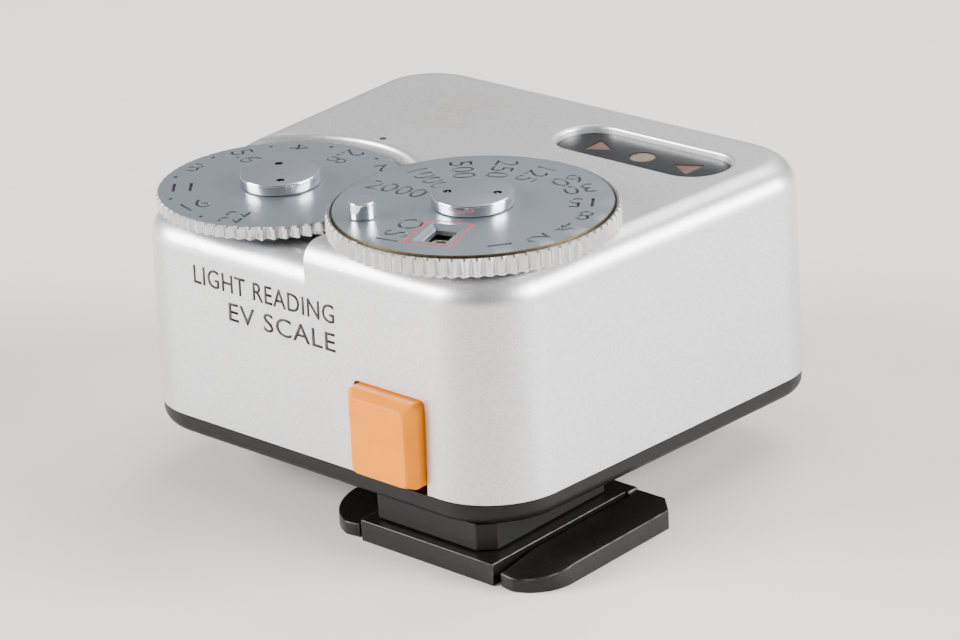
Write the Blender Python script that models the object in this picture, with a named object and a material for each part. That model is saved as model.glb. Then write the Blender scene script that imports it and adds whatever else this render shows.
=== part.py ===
"""Shoe-mount light meter: a silver body on an accessory-shoe foot, with two dials and a button.

Driving dimensions are in millimetres in the body frame: x to the right and y forward from the rear left
corner of the cover, as the photographer sees it, and z up from the cover's lower edge. The builders turn
them into metres. The part's own origin is the centre of the foot's underside.
"""
import math

import bmesh
import bpy
from mathutils import Vector

MM = 0.001

# Cover
WIDTH = 32.35
DEPTH = 31.99
HEIGHT = 14.61
SPREAD = 0.0625
CORNER = 4.95
TOP_FILLET = 1.73
DRAFT = 0.31
WALL = 1.1
CEILING = 12.3
STEP_FLOOR = 13.2
STEP_RADIUS = 9.12
STEP_SIDE_X = 16.6
SEAM = 0.08

# Base
BASE_DEPTH = 1.467
BASE_INSET = 0.12
BASE_ROUND = 0.8
LIP_HEIGHT = 1.0
LIP_THICKNESS = 0.8

# Foot and neck
FOOT_CENTRE = (25.73, 7.3)
FOOT_WIDTH = 18.6
FOOT_LENGTH = 14.0
FOOT_TOP = -3.465
FOOT_BOTTOM = -4.952
FOOT_CORE = 11.05
FLANGE_DROP = 0.15
SLIT = 0.42
SLIT_LENGTH = 13.0
FOOT_ROUND = 3.2
NECK_X = (20.2, 30.3)
NECK_REAR = 1.05
NECK_FRONT = 13.3
NECK_CHAMFER = 0.92
FOOT_SCREW_PLACES = [(0, -3.2), (0, 3.4)]

# Aperture dial, on the left
APERTURE_AXIS = (7.87, 7.47)
APERTURE_RADIUS = 8.11
APERTURE_TOP = 14.48
APERTURE_BOTTOM = 13.62
APERTURE_TEETH = 66

# Shutter-speed dial, on the right
SPEED_AXIS = (23.88, 8.34)
RING_RADIUS = 9.245
RING_TOP = 16.06
RING_BOTTOM = 14.84
RING_TEETH = 76
WEB_TOP = 15.25
DISC_RADIUS = 8.86
DISC_TOP = 16.175
DISC_BOTTOM = 15.56
TOOTH_DEPTH = 0.22
RIM_CHAMFER = 0.15
BALL_RADIUS = 0.4
BALL_TRACK = 6.2
APERTURE_BALL_ANGLE = 163
SPEED_BALL_ANGLE = 90

# Film-speed window and post, from the speed dial's axis
FILM_WINDOW_RADIUS = 5.3
FILM_WINDOW_ANGLE = -72.0
FILM_WINDOW_SIZE = (3.06, 2.17)
POST_PLACE = (-4.15, -5.6)
POST_RADIUS = 0.85
POST_TOP = 17.3

# Hub caps and shafts
HUB_RADIUS = 2.6
HUB_HEIGHT = 0.77
SPANNER_OFFSET = 1.59
SPANNER_RADIUS = 0.28
APERTURE_SPANNER_ANGLE = 134.3
SPEED_SPANNER_ANGLE = 30.7
SHAFT_RADIUS = 1.5
STUD_RADIUS = 1.0
SHAFT_BOTTOM = 7.5
BUSH_RADIUS = 2.25
BUSH_FLANGE = 2.9

# Circuit board and what it carries
BOARD_BOTTOM = 6.0
BOARD_TOP = 6.8
POT_RADIUS = 4.3
POT_TOP = 10.3
LAMP_Y = 25.3
LAMP_X = [20.0, 23.7, 27.5]

# Indicator window
WINDOW_X = (17.08, 30.5)
WINDOW_Y = (22.76, 27.7)
WINDOW_FLOOR = 14.11
PANE_BOTTOM = 13.1
MARK_SIZE = 1.12
DOT_RADIUS = 0.85

# Button
BUTTON_X = (20.5, 26.46)
BUTTON_Z = 6.35
BUTTON_PROUD = 1.15
BUTTON_CLEARANCE = 0.14

# Light sensor in the front face
LENS_CENTRE = (16.18, 8.0)
LENS_RADIUS = 2.8
BEZEL_HOLE = 3.6

# Battery
BATTERY_CENTRE = (9.3, 21.2)
CELL_RADIUS = 5.8
CELL_HEIGHT = 5.4
COVER_RADIUS = 6.9
HOLDER_RADIUS = 6.9
CELL_BOTTOM = 0.15

# Screws
BASE_SCREW_PLACES = [(3.4, 3.4), (1.9, 28.3), (30.45, 28.3)]
BOARD_SCREW_PLACES = [(29.4, 17.5), (3.6, 14.2)]
POST_BOSS = 1.55
SCREW_BOSS = 1.7
SCREW_SHANK = 0.6
PILOT = 0.68


# ---------------------------------------------------------------- outlines

def arc(centre, radius, start, end, steps):
    """Points on an arc from start to end, in degrees, both ends included."""
    points = []
    for i in range(steps + 1):
        angle = math.radians(start + (end - start) * i / steps)
        points.append((centre[0] + radius * math.cos(angle), centre[1] + radius * math.sin(angle)))
    return points


def circle(centre, radius, steps):
    return arc(centre, radius, 0, 360 * (steps - 1) / steps, steps - 1)


def rounded_box(x, y, radius, steps=6):
    """Anticlockwise outline of a rectangle between x = (low, high) and y = (low, high)."""
    points = []
    for cx, cy, start in (
        (x[1] - radius, y[1] - radius, 0),
        (x[0] + radius, y[1] - radius, 90),
        (x[0] + radius, y[0] + radius, 180),
        (x[1] - radius, y[0] + radius, 270),
    ):
        points += arc((cx, cy), radius, start, start + 90, steps)
    return points


def widened(points):
    """Moves points outwards with y, as the cover's sides lean out towards its front."""
    middle = WIDTH / 2
    return [(middle + (x - middle) * (1 + SPREAD * y / middle), y) for x, y in points]


def body_outline(inset, steps=6):
    return widened(rounded_box((inset, WIDTH - inset), (inset, DEPTH - inset), CORNER - inset, steps))


def around(point, centre, angle):
    """The point turned about centre by angle in degrees."""
    a = math.radians(angle)
    dx, dy = point[0] - centre[0], point[1] - centre[1]
    return (centre[0] + dx * math.cos(a) - dy * math.sin(a), centre[1] + dx * math.sin(a) + dy * math.cos(a))


def knurl(radius, teeth, depth):
    """Outline of a toothed rim: each tooth has a flat tip and two flanks that meet the next in a V."""
    points = []
    pitch = 360 / teeth
    for tooth in range(teeth):
        for share, r in ((-0.18, radius), (0.18, radius), (0.5, radius - depth)):
            angle = math.radians((tooth + share) * pitch)
            points.append((r * math.cos(angle), r * math.sin(angle)))
    return points


# ---------------------------------------------------------------- solids

MATERIALS = {}


def material(name, colour, roughness, metallic=0.0):
    shade = bpy.data.materials.new(name)
    shade.use_nodes = True
    shader = shade.node_tree.nodes["Principled BSDF"]
    shader.inputs["Base Color"].default_value = (*colour, 1.0)
    shader.inputs["Roughness"].default_value = roughness
    shader.inputs["Metallic"].default_value = metallic
    MATERIALS[name] = shade


def frame(name, place):
    """An empty at a place in the body frame; pieces parented to it are built about its origin."""
    empty = bpy.data.objects.new(name, None)
    x, y = FOOT_CENTRE
    empty.location = Vector((place[0] - x, place[1] - y, place[2] - FOOT_BOTTOM)) * MM
    bpy.context.scene.collection.objects.link(empty)
    return empty


def piece(name, parent, mesh, finish=None):
    """A named object from a bmesh in millimetres."""
    bmesh.ops.scale(mesh, vec=(MM, MM, MM), verts=mesh.verts)
    bmesh.ops.recalc_face_normals(mesh, faces=mesh.faces)
    data = bpy.data.meshes.new(name)
    mesh.to_mesh(data)
    mesh.free()
    thing = bpy.data.objects.new(name, data)
    bpy.context.scene.collection.objects.link(thing)
    thing.parent = parent
    if finish:
        data.materials.append(MATERIALS[finish])
        data.shade_smooth()
        data.set_sharp_from_angle(angle=math.radians(30))
    return thing


def loft(mesh, rings):
    """Adds a closed solid through rings of points with equal counts, capped at both ends."""
    loops = [[mesh.verts.new(point) for point in ring] for ring in rings]
    for lower, upper in zip(loops, loops[1:]):
        for i, vert in enumerate(lower):
            j = (i + 1) % len(lower)
            mesh.faces.new((vert, lower[j], upper[j], upper[i]))
    mesh.faces.new(loops[0][::-1])
    mesh.faces.new(loops[-1])
    return mesh


def prism(outline, low, high, mesh=None):
    mesh = mesh or bmesh.new()
    return loft(mesh, [[(x, y, z) for x, y in outline] for z in (low, high)])


def box(x, y, z, mesh=None):
    outline = [(x[0], y[0]), (x[1], y[0]), (x[1], y[1]), (x[0], y[1])]
    return prism(outline, z[0], z[1], mesh)


def turned(profile, steps, mesh=None, centre=(0, 0)):
    """Adds a closed profile of (radius, height) pairs, turned about the vertical line through centre."""
    mesh = mesh or bmesh.new()
    columns = []
    for r, z in profile:
        if r == 0:
            columns.append([mesh.verts.new((centre[0], centre[1], z))] * steps)
        else:
            columns.append([mesh.verts.new((x, y, z)) for x, y in circle(centre, r, steps)])
    for near, far in zip(columns, columns[1:] + columns[:1]):
        for i in range(steps):
            j = (i + 1) % steps
            corners = list(dict.fromkeys((near[i], near[j], far[j], far[i])))
            if len(corners) > 2:
                mesh.faces.new(corners)
    return mesh


def rod(radius, low, high, steps=24, mesh=None, centre=(0, 0)):
    return turned([(0, low), (radius, low), (radius, high), (0, high)], steps, mesh, centre)


def ring(inner, outer, low, high, steps=32, mesh=None, centre=(0, 0)):
    return turned([(inner, low), (outer, low), (outer, high), (inner, high)], steps, mesh, centre)


def rod_y(radius, centre, y, steps=24, mesh=None):
    """A rod along y about the line through centre = (x, z)."""
    mesh = mesh or bmesh.new()
    rings = [[(px, depth, pz) for px, pz in circle(centre, radius, steps)] for depth in y]
    return loft(mesh, rings)


def turned_y(profile, centre, steps=28):
    """A closed profile of (radius, y) pairs turned about the line along y through centre = (x, z)."""
    mesh = turned(profile, steps)
    for vert in mesh.verts:
        x, y, z = vert.co
        vert.co = (centre[0] + x, z, centre[1] - y)
    return mesh


def helix(radius, wire, low, high, turns, centre, steps=8, sides=4):
    """A coil spring standing on low, between z = low and z = high."""
    rings = []
    count = int(turns * steps)
    for i in range(count + 1):
        angle = 2 * math.pi * i / steps
        height = low + wire + (high - low - 2 * wire) * i / count
        ring_points = []
        for k in range(sides):
            side = 2 * math.pi * k / sides
            r = radius + wire * math.cos(side)
            x = centre[0] + r * math.cos(angle)
            y = centre[1] + r * math.sin(angle)
            ring_points.append((x, y, height + wire * math.sin(side)))
        rings.append(ring_points)
    return loft(bmesh.new(), rings)


def boolean(target, tool, operation="DIFFERENCE"):
    tool.hide_render = True
    tool.display_type = "WIRE"
    step = target.modifiers.new(tool.name, "BOOLEAN")
    step.operation = operation
    step.object = tool
    step.solver = "EXACT"


def cut(target, mesh):
    """Cuts a closed mesh in the target's own frame out of the target."""
    tool = piece(f"{target.name}_cut{len(target.modifiers)}", target.parent, mesh)
    boolean(target, tool)


def add(target, mesh):
    tool = piece(f"{target.name}_add{len(target.modifiers)}", target.parent, mesh)
    boolean(target, tool, "UNION")


# ---------------------------------------------------------------- body

def step_outline():
    """The sunk step for the aperture dial: a circle that opens to the left and to the rear."""
    reach = math.degrees(math.acos((STEP_SIDE_X - APERTURE_AXIS[0]) / STEP_RADIUS))
    points = arc(APERTURE_AXIS, STEP_RADIUS, -reach, 180, 30)
    round_radius = 0.6
    outside = -2.0
    left = APERTURE_AXIS[0] - STEP_RADIUS + outside
    points += [(left, APERTURE_AXIS[1]), (left, outside), (STEP_SIDE_X + round_radius, outside)]
    points += arc((STEP_SIDE_X + round_radius, round_radius), round_radius, 270, 180, 5)
    return points


def top_cover(parent):
    rings = []
    for z, inset in ((0, 0), (HEIGHT - TOP_FILLET, DRAFT)):
        rings.append([(x, y, z) for x, y in body_outline(inset)])
    fillet_steps = 4
    for i in range(1, fillet_steps + 1):
        angle = math.pi / 2 * i / fillet_steps
        inset = DRAFT + TOP_FILLET * (1 - math.cos(angle))
        z = HEIGHT - TOP_FILLET * (1 - math.sin(angle))
        rings.append([(x, y, z) for x, y in body_outline(inset)])
    cover = piece("top_cover", parent, loft(bmesh.new(), rings), "silver")
    cut(cover, prism(body_outline(WALL), -1, CEILING))
    bosses = bmesh.new()
    for place in BASE_SCREW_PLACES:
        rod(SCREW_BOSS, 0.1, CEILING + 0.4, 16, bosses, place)
    for place in BOARD_SCREW_PLACES:
        rod(POST_BOSS, BOARD_TOP + 0.1, CEILING + 0.4, 16, bosses, place)
    rod(1.1, 11.0, CEILING + 0.4, 12, bosses, ball_place(APERTURE_AXIS, APERTURE_BALL_ANGLE))
    add(cover, bosses)
    cut(cover, prism(step_outline(), STEP_FLOOR, HEIGHT + 1))
    cut(cover, prism(rounded_box(WINDOW_X, WINDOW_Y, 2.39, 8), CEILING - 1, HEIGHT + 1))
    holes = bmesh.new()
    for axis in (APERTURE_AXIS, SPEED_AXIS):
        rod(BUSH_RADIUS + 0.08, CEILING - 1, HEIGHT + 1, 24, holes, axis)
    rod(BALL_RADIUS + 0.06, 11.5, STEP_FLOOR + 1, 10, holes, ball_place(APERTURE_AXIS, APERTURE_BALL_ANGLE))
    rod(BALL_RADIUS + 0.06, 12.95, HEIGHT + 1, 10, holes, ball_place(SPEED_AXIS, SPEED_BALL_ANGLE))
    for place in BASE_SCREW_PLACES:
        rod(PILOT, -1, 6, 14, holes, place)
    for place in BOARD_SCREW_PLACES:
        rod(PILOT, BOARD_TOP - 1, 10, 14, holes, place)
    cut(cover, holes)
    cut(cover, box(BUTTON_X, (-2, WALL + 1), (-1, BUTTON_Z)))
    cut(cover, rod_y(BEZEL_HOLE, LENS_CENTRE, (DEPTH - WALL - 2, DEPTH + 1), 40))


def ball_place(axis, angle):
    turn = math.radians(angle)
    return (axis[0] + BALL_TRACK * math.cos(turn), axis[1] + BALL_TRACK * math.sin(turn))


def base_plate(parent):
    rings = []
    steps = 3
    for i in range(steps + 1):
        angle = math.pi / 2 * i / steps
        inset = BASE_INSET + BASE_ROUND * (1 - math.sin(angle))
        z = -BASE_DEPTH + BASE_ROUND * (1 - math.cos(angle))
        rings.append([(x, y, z) for x, y in body_outline(inset)])
    rings.append([(x, y, -SEAM) for x, y in body_outline(BASE_INSET)])
    base = piece("base_plate", parent, loft(bmesh.new(), rings), "black")
    add(base, prism(body_outline(WALL + 0.15), -0.5, LIP_HEIGHT))
    cut(base, prism(body_outline(WALL + 0.15 + LIP_THICKNESS), -SEAM, LIP_HEIGHT + 1))
    cut(base, box((BUTTON_X[0] - 1.2, BUTTON_X[1] + 1.2), (0.5, 4), (-SEAM, LIP_HEIGHT + 1)))
    holes = rod(COVER_RADIUS + 0.1, -3, 3, 36, None, BATTERY_CENTRE)
    cut(base, holes)
    clear = bmesh.new()
    for place in BASE_SCREW_PLACES:
        rod(SCREW_BOSS + 0.15, -SEAM, LIP_HEIGHT + 1, 16, clear, place)
    cut(base, clear)
    sunk = bmesh.new()
    for place in BASE_SCREW_PLACES:
        turned([(0, -3), (1.45, -3), (1.45, -BASE_DEPTH + 0.15), (0.72, -0.6), (0.72, 1), (0, 1)],
               14, sunk, place)
    for dx, dy in FOOT_SCREW_PLACES:
        rod(PILOT, -3, -0.5, 14, sunk, (FOOT_CENTRE[0] + dx, FOOT_CENTRE[1] + dy))
    cut(base, sunk)


def cross_recess(under, reach):
    """A cross recess in an upward-driven screw whose head is at z = under."""
    half = 0.16
    corners = [(reach, half), (half, half), (half, reach)]
    outline = []
    for quarter in range(4):
        outline += [around(point, (0, 0), 90 * quarter) for point in corners]
    return prism(outline, under - 1, under + 0.35)


def screw(name, parent, place, profile):
    """A screw on its own axis; its profile starts at the head's underside."""
    axis = frame(f"{name}_axis", (*place, 0))
    axis.parent = parent
    axis.location = Vector((*place, 0)) * MM
    thing = piece(name, axis, turned(profile, 14), "zinc")
    cut(thing, cross_recess(profile[0][1], 0.7))


def countersunk(under, head, head_depth, top):
    """Profile of a flat-headed screw driven upwards: its head is at z = under."""
    return [(0, under), (head, under), (SCREW_SHANK, under + head_depth), (SCREW_SHANK, top), (0, top)]


def screws(parent):
    for i, place in enumerate(BASE_SCREW_PLACES):
        screw(f"base_screw_{i + 1}", parent, place, countersunk(-BASE_DEPTH + 0.12, 1.32, 0.75, 5.4))
    for i, (dx, dy) in enumerate(FOOT_SCREW_PLACES):
        place = (FOOT_CENTRE[0] + dx, FOOT_CENTRE[1] + dy)
        screw(f"foot_screw_{i + 1}", parent, place, countersunk(FOOT_BOTTOM + 0.15, 1.28, 0.7, -0.6))
    for i, place in enumerate(BOARD_SCREW_PLACES):
        top = BOARD_BOTTOM - 0.05
        profile = [(0, top - 0.7), (1.1, top - 0.7), (1.25, top - 0.5), (1.25, top),
                   (SCREW_SHANK, top), (SCREW_SHANK, 9.6), (0, 9.6)]
        screw(f"board_screw_{i + 1}", parent, place, profile)


def shoe_neck(parent):
    x0, x1 = NECK_X
    c = NECK_CHAMFER
    outline = [
        (x0 + c, NECK_REAR), (x1 - c, NECK_REAR), (x1, NECK_REAR + c), (x1, NECK_FRONT - c),
        (x1 - c, NECK_FRONT), (x0 + c, NECK_FRONT), (x0, NECK_FRONT - c), (x0, NECK_REAR + c),
    ]
    neck = piece("shoe_neck", parent, prism(outline, FOOT_TOP + SEAM, -BASE_DEPTH - SEAM), "black")
    holes = bmesh.new()
    for dx, dy in FOOT_SCREW_PLACES:
        rod(0.72, FOOT_TOP - 1, 0, 16, holes, (FOOT_CENTRE[0] + dx, FOOT_CENTRE[1] + dy))
    cut(neck, holes)


def foot_outline():
    """Half widths of the core and the flanges mirror about the foot's centre line."""
    half, core = FOOT_WIDTH / 2, FOOT_CORE / 2
    rear, front = -FOOT_LENGTH / 2, FOOT_LENGTH / 2
    slit_end = rear + SLIT_LENGTH
    chamfer = 1.3
    right = [(core, rear), (core, slit_end), (core + SLIT, slit_end), (core + SLIT, rear + 0.25)]
    right += arc((half - FOOT_ROUND, rear + FOOT_ROUND), FOOT_ROUND, 285, 360, 8)
    right += [(half, front - chamfer), (half - chamfer, front)]
    left = [(-x, y) for x, y in reversed(right)]
    return [(x + FOOT_CENTRE[0], y + FOOT_CENTRE[1]) for x, y in right + left]


def shoe_foot(parent):
    foot = piece("shoe_foot", parent, prism(foot_outline(), FOOT_BOTTOM, FOOT_TOP), "foot_black")
    rear, front = FOOT_CENTRE[1] - FOOT_LENGTH / 2, FOOT_CENTRE[1] + FOOT_LENGTH / 2
    core, half = FOOT_CORE / 2, FOOT_WIDTH / 2
    flange, ramp = FOOT_TOP - FLANGE_DROP, FOOT_TOP - 0.55
    profile = [(rear - 1, ramp), (rear + 0.6, ramp), (rear + 3.4, flange), (front + 1, flange),
               (front + 1, FOOT_TOP + 1), (rear - 1, FOOT_TOP + 1)]
    ramps = bmesh.new()
    for side in (-1, 1):
        edges = sorted((FOOT_CENTRE[0] + side * (core + SLIT / 2), FOOT_CENTRE[0] + side * (half + 1)))
        loft(ramps, [[(x, y, z) for y, z in profile] for x in edges])
    cut(foot, ramps)
    sunk = bmesh.new()
    for dx, dy in FOOT_SCREW_PLACES:
        place = (FOOT_CENTRE[0] + dx, FOOT_CENTRE[1] + dy)
        turned([(0, -7), (1.4, -7), (1.4, FOOT_BOTTOM + 0.2), (0.72, FOOT_BOTTOM + 0.88), (0.72, 0), (0, 0)],
               20, sunk, place)
    cut(foot, sunk)


# ---------------------------------------------------------------- dials

def hub_cap(name, parent, low, angle):
    """A round nut with a blind hole below for the stud and two spanner holes above."""
    high = low + HUB_HEIGHT
    bore = STUD_RADIUS + 0.02
    profile = [(0, high - 0.26), (bore, high - 0.26), (bore, low), (HUB_RADIUS - 0.06, low),
               (HUB_RADIUS, low + 0.06), (HUB_RADIUS, high - 0.1), (HUB_RADIUS - 0.1, high), (0, high)]
    cap = piece(name, parent, turned(profile, 32), "chrome")
    holes = bmesh.new()
    for half_turn in (0, 180):
        place = around((SPANNER_OFFSET, 0), (0, 0), angle + half_turn)
        rod(SPANNER_RADIUS, high - 0.5, high + 1, 10, holes, place)
    cut(cap, holes)


def shaft(name, parent, shoulder, stud_top):
    """A pin with a clip groove, a shoulder that carries the dial, and a stud for the hub cap."""
    groove = STUD_RADIUS + 0.1
    profile = [
        (0, SHAFT_BOTTOM), (SHAFT_RADIUS, SHAFT_BOTTOM), (SHAFT_RADIUS, 11.25), (groove, 11.25),
        (groove, 11.65), (SHAFT_RADIUS, 11.65), (SHAFT_RADIUS, shoulder), (STUD_RADIUS, shoulder),
        (STUD_RADIUS, stud_top), (0, stud_top),
    ]
    piece(name, parent, turned(profile, 18), "steel")


def clip(name, parent):
    """An open retaining clip in the shaft's groove."""
    opening = 32
    outline = arc((0, 0), 2.3, opening, 360 - opening, 12)
    outline += arc((0, 0), STUD_RADIUS + 0.14, 360 - opening, opening, 10)
    piece(name, parent, prism(outline, 11.3, 11.6), "steel")


def bush(name, parent, top):
    inner = SHAFT_RADIUS + 0.05
    profile = [(inner, 11.9), (BUSH_FLANGE, 11.9), (BUSH_FLANGE, CEILING - 0.1),
               (BUSH_RADIUS, CEILING - 0.1), (BUSH_RADIUS, top), (inner, top)]
    piece(name, parent, turned(profile, 18), "brass")


def washer(name, parent, low, high):
    piece(name, parent, ring(SHAFT_RADIUS + 0.06, 2.7, low, high, 18), "steel")


def wiper(name, parent):
    """The potentiometer's rotor disc with its pointed wiping arm."""
    rotor = piece(name, parent, ring(SHAFT_RADIUS + 0.06, 2.5, 8.6, 9.3, 18), "dark_plastic")
    add(rotor, box((1.9, 3.45), (-0.45, 0.45), (8.7, 8.95)))


def pot_body(name, parent):
    profile = [
        (0, BOARD_TOP + 0.1), (POT_RADIUS, BOARD_TOP + 0.1), (POT_RADIUS, POT_TOP),
        (SHAFT_RADIUS + 0.2, POT_TOP), (SHAFT_RADIUS + 0.2, POT_TOP - 0.5), (POT_RADIUS - 0.6, POT_TOP - 0.5),
        (POT_RADIUS - 0.6, BOARD_TOP + 0.6), (0, BOARD_TOP + 0.6),
    ]
    pot = piece(name, parent, turned(profile, 24), "dark_plastic")
    pins = bmesh.new()
    for i in (-1, 0, 1):
        x, y = 2.2 * i, 3.2 - abs(i) * 0.5
        box((x - 0.25, x + 0.25), (y - 0.25, y + 0.25), (BOARD_BOTTOM - 0.9, BOARD_TOP + 0.3), pins)
    add(pot, pins)


def pot_track(name, parent):
    """The resistance track, open at the front where its ends are."""
    outline = arc((0, 0), POT_RADIUS - 0.8, 120, 420, 14) + arc((0, 0), 2.1, 420, 120, 14)
    piece(name, parent, prism(outline, BOARD_TOP + 0.65, BOARD_TOP + 0.95), "dark_plastic")


def aperture_dial(parent):
    low, high = APERTURE_BOTTOM, APERTURE_TOP
    outline = knurl(APERTURE_RADIUS, APERTURE_TEETH, TOOTH_DEPTH)
    inner = knurl(APERTURE_RADIUS - RIM_CHAMFER, APERTURE_TEETH, TOOTH_DEPTH * 0.35)
    rings = [[(x, y, low) for x, y in outline], [(x, y, high - RIM_CHAMFER) for x, y in outline],
             [(x, y, high) for x, y in inner]]
    dial = piece("aperture_dial", parent, loft(bmesh.new(), rings), "dial_metal")
    holes = rod(STUD_RADIUS + 0.02, low - 1, high + 1, 18)
    ring(BALL_TRACK - 0.55, BALL_TRACK + 0.55, low - 1, low + 0.25, 28, holes)
    cut(dial, holes)


def speed_ring(parent):
    low, high = RING_BOTTOM, RING_TOP
    outline = knurl(RING_RADIUS, RING_TEETH, TOOTH_DEPTH)
    inner = knurl(RING_RADIUS - RIM_CHAMFER, RING_TEETH, TOOTH_DEPTH * 0.3)
    rings = [[(x, y, low) for x, y in outline], [(x, y, high - RIM_CHAMFER) for x, y in outline],
             [(x, y, high) for x, y in inner]]
    knob = piece("speed_ring", parent, loft(bmesh.new(), rings), "rim_metal")
    holes = rod(DISC_RADIUS + 0.11, WEB_TOP, high + 1, 56)
    cut(knob, holes)
    bore = rod(STUD_RADIUS + 0.02, low - 1, high + 1, 18)
    ring(BALL_TRACK - 0.55, BALL_TRACK + 0.55, low - 1, low + 0.22, 28, bore)
    cut(knob, bore)


def film_scale(parent):
    """The plate under the speed disc that carries the film speeds."""
    plate = ring(STUD_RADIUS + 0.1, 8.2, WEB_TOP + 0.03, WEB_TOP + 0.15, 32)
    piece("film_scale", parent, plate, "brass_dark")


def disc_spring(parent):
    """A star-shaped click spring between the film scale and the speed disc."""
    outline = []
    for arm in range(6):
        outline += arc((0, 0), 2.5, arm * 60 - 14, arm * 60 + 14, 3)
        outline += arc((0, 0), 1.7, arm * 60 + 24, arm * 60 + 36, 1)
    spring = piece("disc_spring", parent, prism(outline, WEB_TOP + 0.18, DISC_BOTTOM - 0.03), "steel")
    cut(spring, rod(STUD_RADIUS + 0.1, WEB_TOP - 1, DISC_TOP, 20))


def window_corner(radial, tangential, grow=0.0):
    """A point of the film-speed window, from its size along and across the radius."""
    along = FILM_WINDOW_RADIUS + radial * (FILM_WINDOW_SIZE[0] / 2 + grow)
    across = tangential * (FILM_WINDOW_SIZE[1] / 2 + grow)
    return around((along, across), (0, 0), FILM_WINDOW_ANGLE)


def speed_disc(parent):
    edge = 0.06
    profile = [
        (STUD_RADIUS + 0.04, DISC_BOTTOM), (DISC_RADIUS, DISC_BOTTOM), (DISC_RADIUS, DISC_TOP - edge),
        (DISC_RADIUS - edge, DISC_TOP), (STUD_RADIUS + 0.04, DISC_TOP),
    ]
    disc = piece("speed_disc", parent, turned(profile, 56), "dial_metal")
    corners = [(-1, -1), (1, -1), (1, 1), (-1, 1)]
    rings = []
    for z, grow in ((DISC_BOTTOM - 0.5, -0.36), (DISC_TOP - 0.34, -0.36), (DISC_TOP - 0.3, -0.22),
                    (DISC_TOP, 0.0), (DISC_TOP + 0.5, 0.0)):
        rings.append([(*window_corner(a, b, grow), z) for a, b in corners])
    cut(disc, loft(bmesh.new(), rings))
    cut(disc, rod(0.52, DISC_BOTTOM - 1, DISC_TOP + 1, 16, None, POST_PLACE))


def film_post(parent):
    chamfer = 0.1
    profile = [
        (0, DISC_BOTTOM + 0.05), (0.48, DISC_BOTTOM + 0.05), (0.48, DISC_TOP + 0.03),
        (POST_RADIUS - 0.05, DISC_TOP + 0.03), (POST_RADIUS, DISC_TOP + 0.1),
        (POST_RADIUS, POST_TOP - chamfer),
        (POST_RADIUS - chamfer, POST_TOP), (0, POST_TOP),
    ]
    piece("film_post", parent, turned(profile, 20, None, POST_PLACE), "chrome")


def click_parts(name, parent, place, ball_z, floor):
    """The ball and the spring under a dial, in a pocket of the cover."""
    ball = bmesh.new()
    bmesh.ops.create_uvsphere(ball, u_segments=10, v_segments=6, radius=BALL_RADIUS)
    bmesh.ops.translate(ball, vec=Vector((*place, ball_z)), verts=ball.verts)
    piece(f"{name}_click_ball", parent, ball, "steel")
    spring = helix(0.27, 0.08, floor, ball_z - BALL_RADIUS - 0.03, 4, place)
    piece(f"{name}_click_spring", parent, spring, "steel")


# ---------------------------------------------------------------- button and switch

def measure_button(parent):
    """Built about the middle of its opening at the rear face; y = 0 is the cover's rear face."""
    half = (BUTTON_X[1] - BUTTON_X[0]) / 2 - BUTTON_CLEARANCE
    low, high = 0.5, BUTTON_Z - BUTTON_CLEARANCE
    rounding = 0.5
    wide = half + 0.75
    flange = rounded_box((-wide, wide), (0.3, high + 0.75), 0.3, 3)
    face = -BUTTON_PROUD
    stages = [(WALL + 0.6, 0.0), (face + 0.55, 0.0), (face + 0.05, 0.5), (face, 0.6)]
    rings = []
    for y, inset in stages:
        across, up = (-half + inset, half - inset), (low + inset * 0.7, high - inset)
        rings.append([(x, y, z) for x, z in rounded_box(across, up, rounding, 3)])
    button = piece("measure_button", parent, loft(bmesh.new(), rings), "orange")
    back = [[(x, y, z) for x, z in flange] for y in (WALL + 0.95, WALL + 0.15)]
    add(button, loft(bmesh.new(), back))
    add(button, rod_y(0.9, (0, 3.75), (WALL + 0.5, 3.6), 20))


def switch_plunger(parent):
    piece("switch_plunger", parent, rod_y(0.75, (0, 3.75), (3.65, 5.2), 20), "dark_plastic")


def switch_body(parent):
    x = (BUTTON_X[0] + BUTTON_X[1]) / 2
    body = piece("switch_body", parent, box((x - 2.2, x + 2.2), (4.8, 8.0), (1.55, 5.9)), "steel")
    cut(body, rod_y(0.85, (x, 3.75), (4.0, 6.3), 24))


# ---------------------------------------------------------------- electronics

def circuit_board(parent):
    outline = widened(rounded_box((1.7, WIDTH - 1.7), (3.4, DEPTH - 2.2), 2.0, 4))
    board = piece("circuit_board", parent, prism(outline, BOARD_BOTTOM, BOARD_TOP), "board_green")
    gaps = bmesh.new()
    for place in BASE_SCREW_PLACES:
        rod(SCREW_BOSS + 0.25, BOARD_BOTTOM - 1, BOARD_TOP + 1, 24, gaps, place)
    rod(HOLDER_RADIUS + 0.2, BOARD_BOTTOM - 1, BOARD_TOP + 1, 48, gaps, BATTERY_CENTRE)
    for place in BOARD_SCREW_PLACES:
        rod(0.75, BOARD_BOTTOM - 1, BOARD_TOP + 1, 16, gaps, place)
    for axis in (APERTURE_AXIS, SPEED_AXIS):
        slot_y = (axis[1] + 2.2, axis[1] + 3.7)
        box((axis[0] - 2.7, axis[0] + 2.7), slot_y, (BOARD_BOTTOM - 1, BOARD_TOP + 1), gaps)
    cut(board, gaps)


def meter_chip(parent):
    """The metering chip with its legs."""
    x, y = 20.4, 18.2
    low = BOARD_TOP + 0.25
    body = box((x - 2.5, x + 2.5), (y - 1.95, y + 1.95), (low, low + 1.4))
    chip = piece("meter_chip", parent, body, "dark_plastic")
    legs = bmesh.new()
    for i in range(4):
        leg_x = x - 1.905 + 1.27 * i
        for side in (-1, 1):
            near, far = y + side * 1.8, y + side * 2.9
            box((leg_x - 0.2, leg_x + 0.2), sorted((near, far)), (low - 0.2, low + 0.3), legs)
    add(chip, legs)


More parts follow.
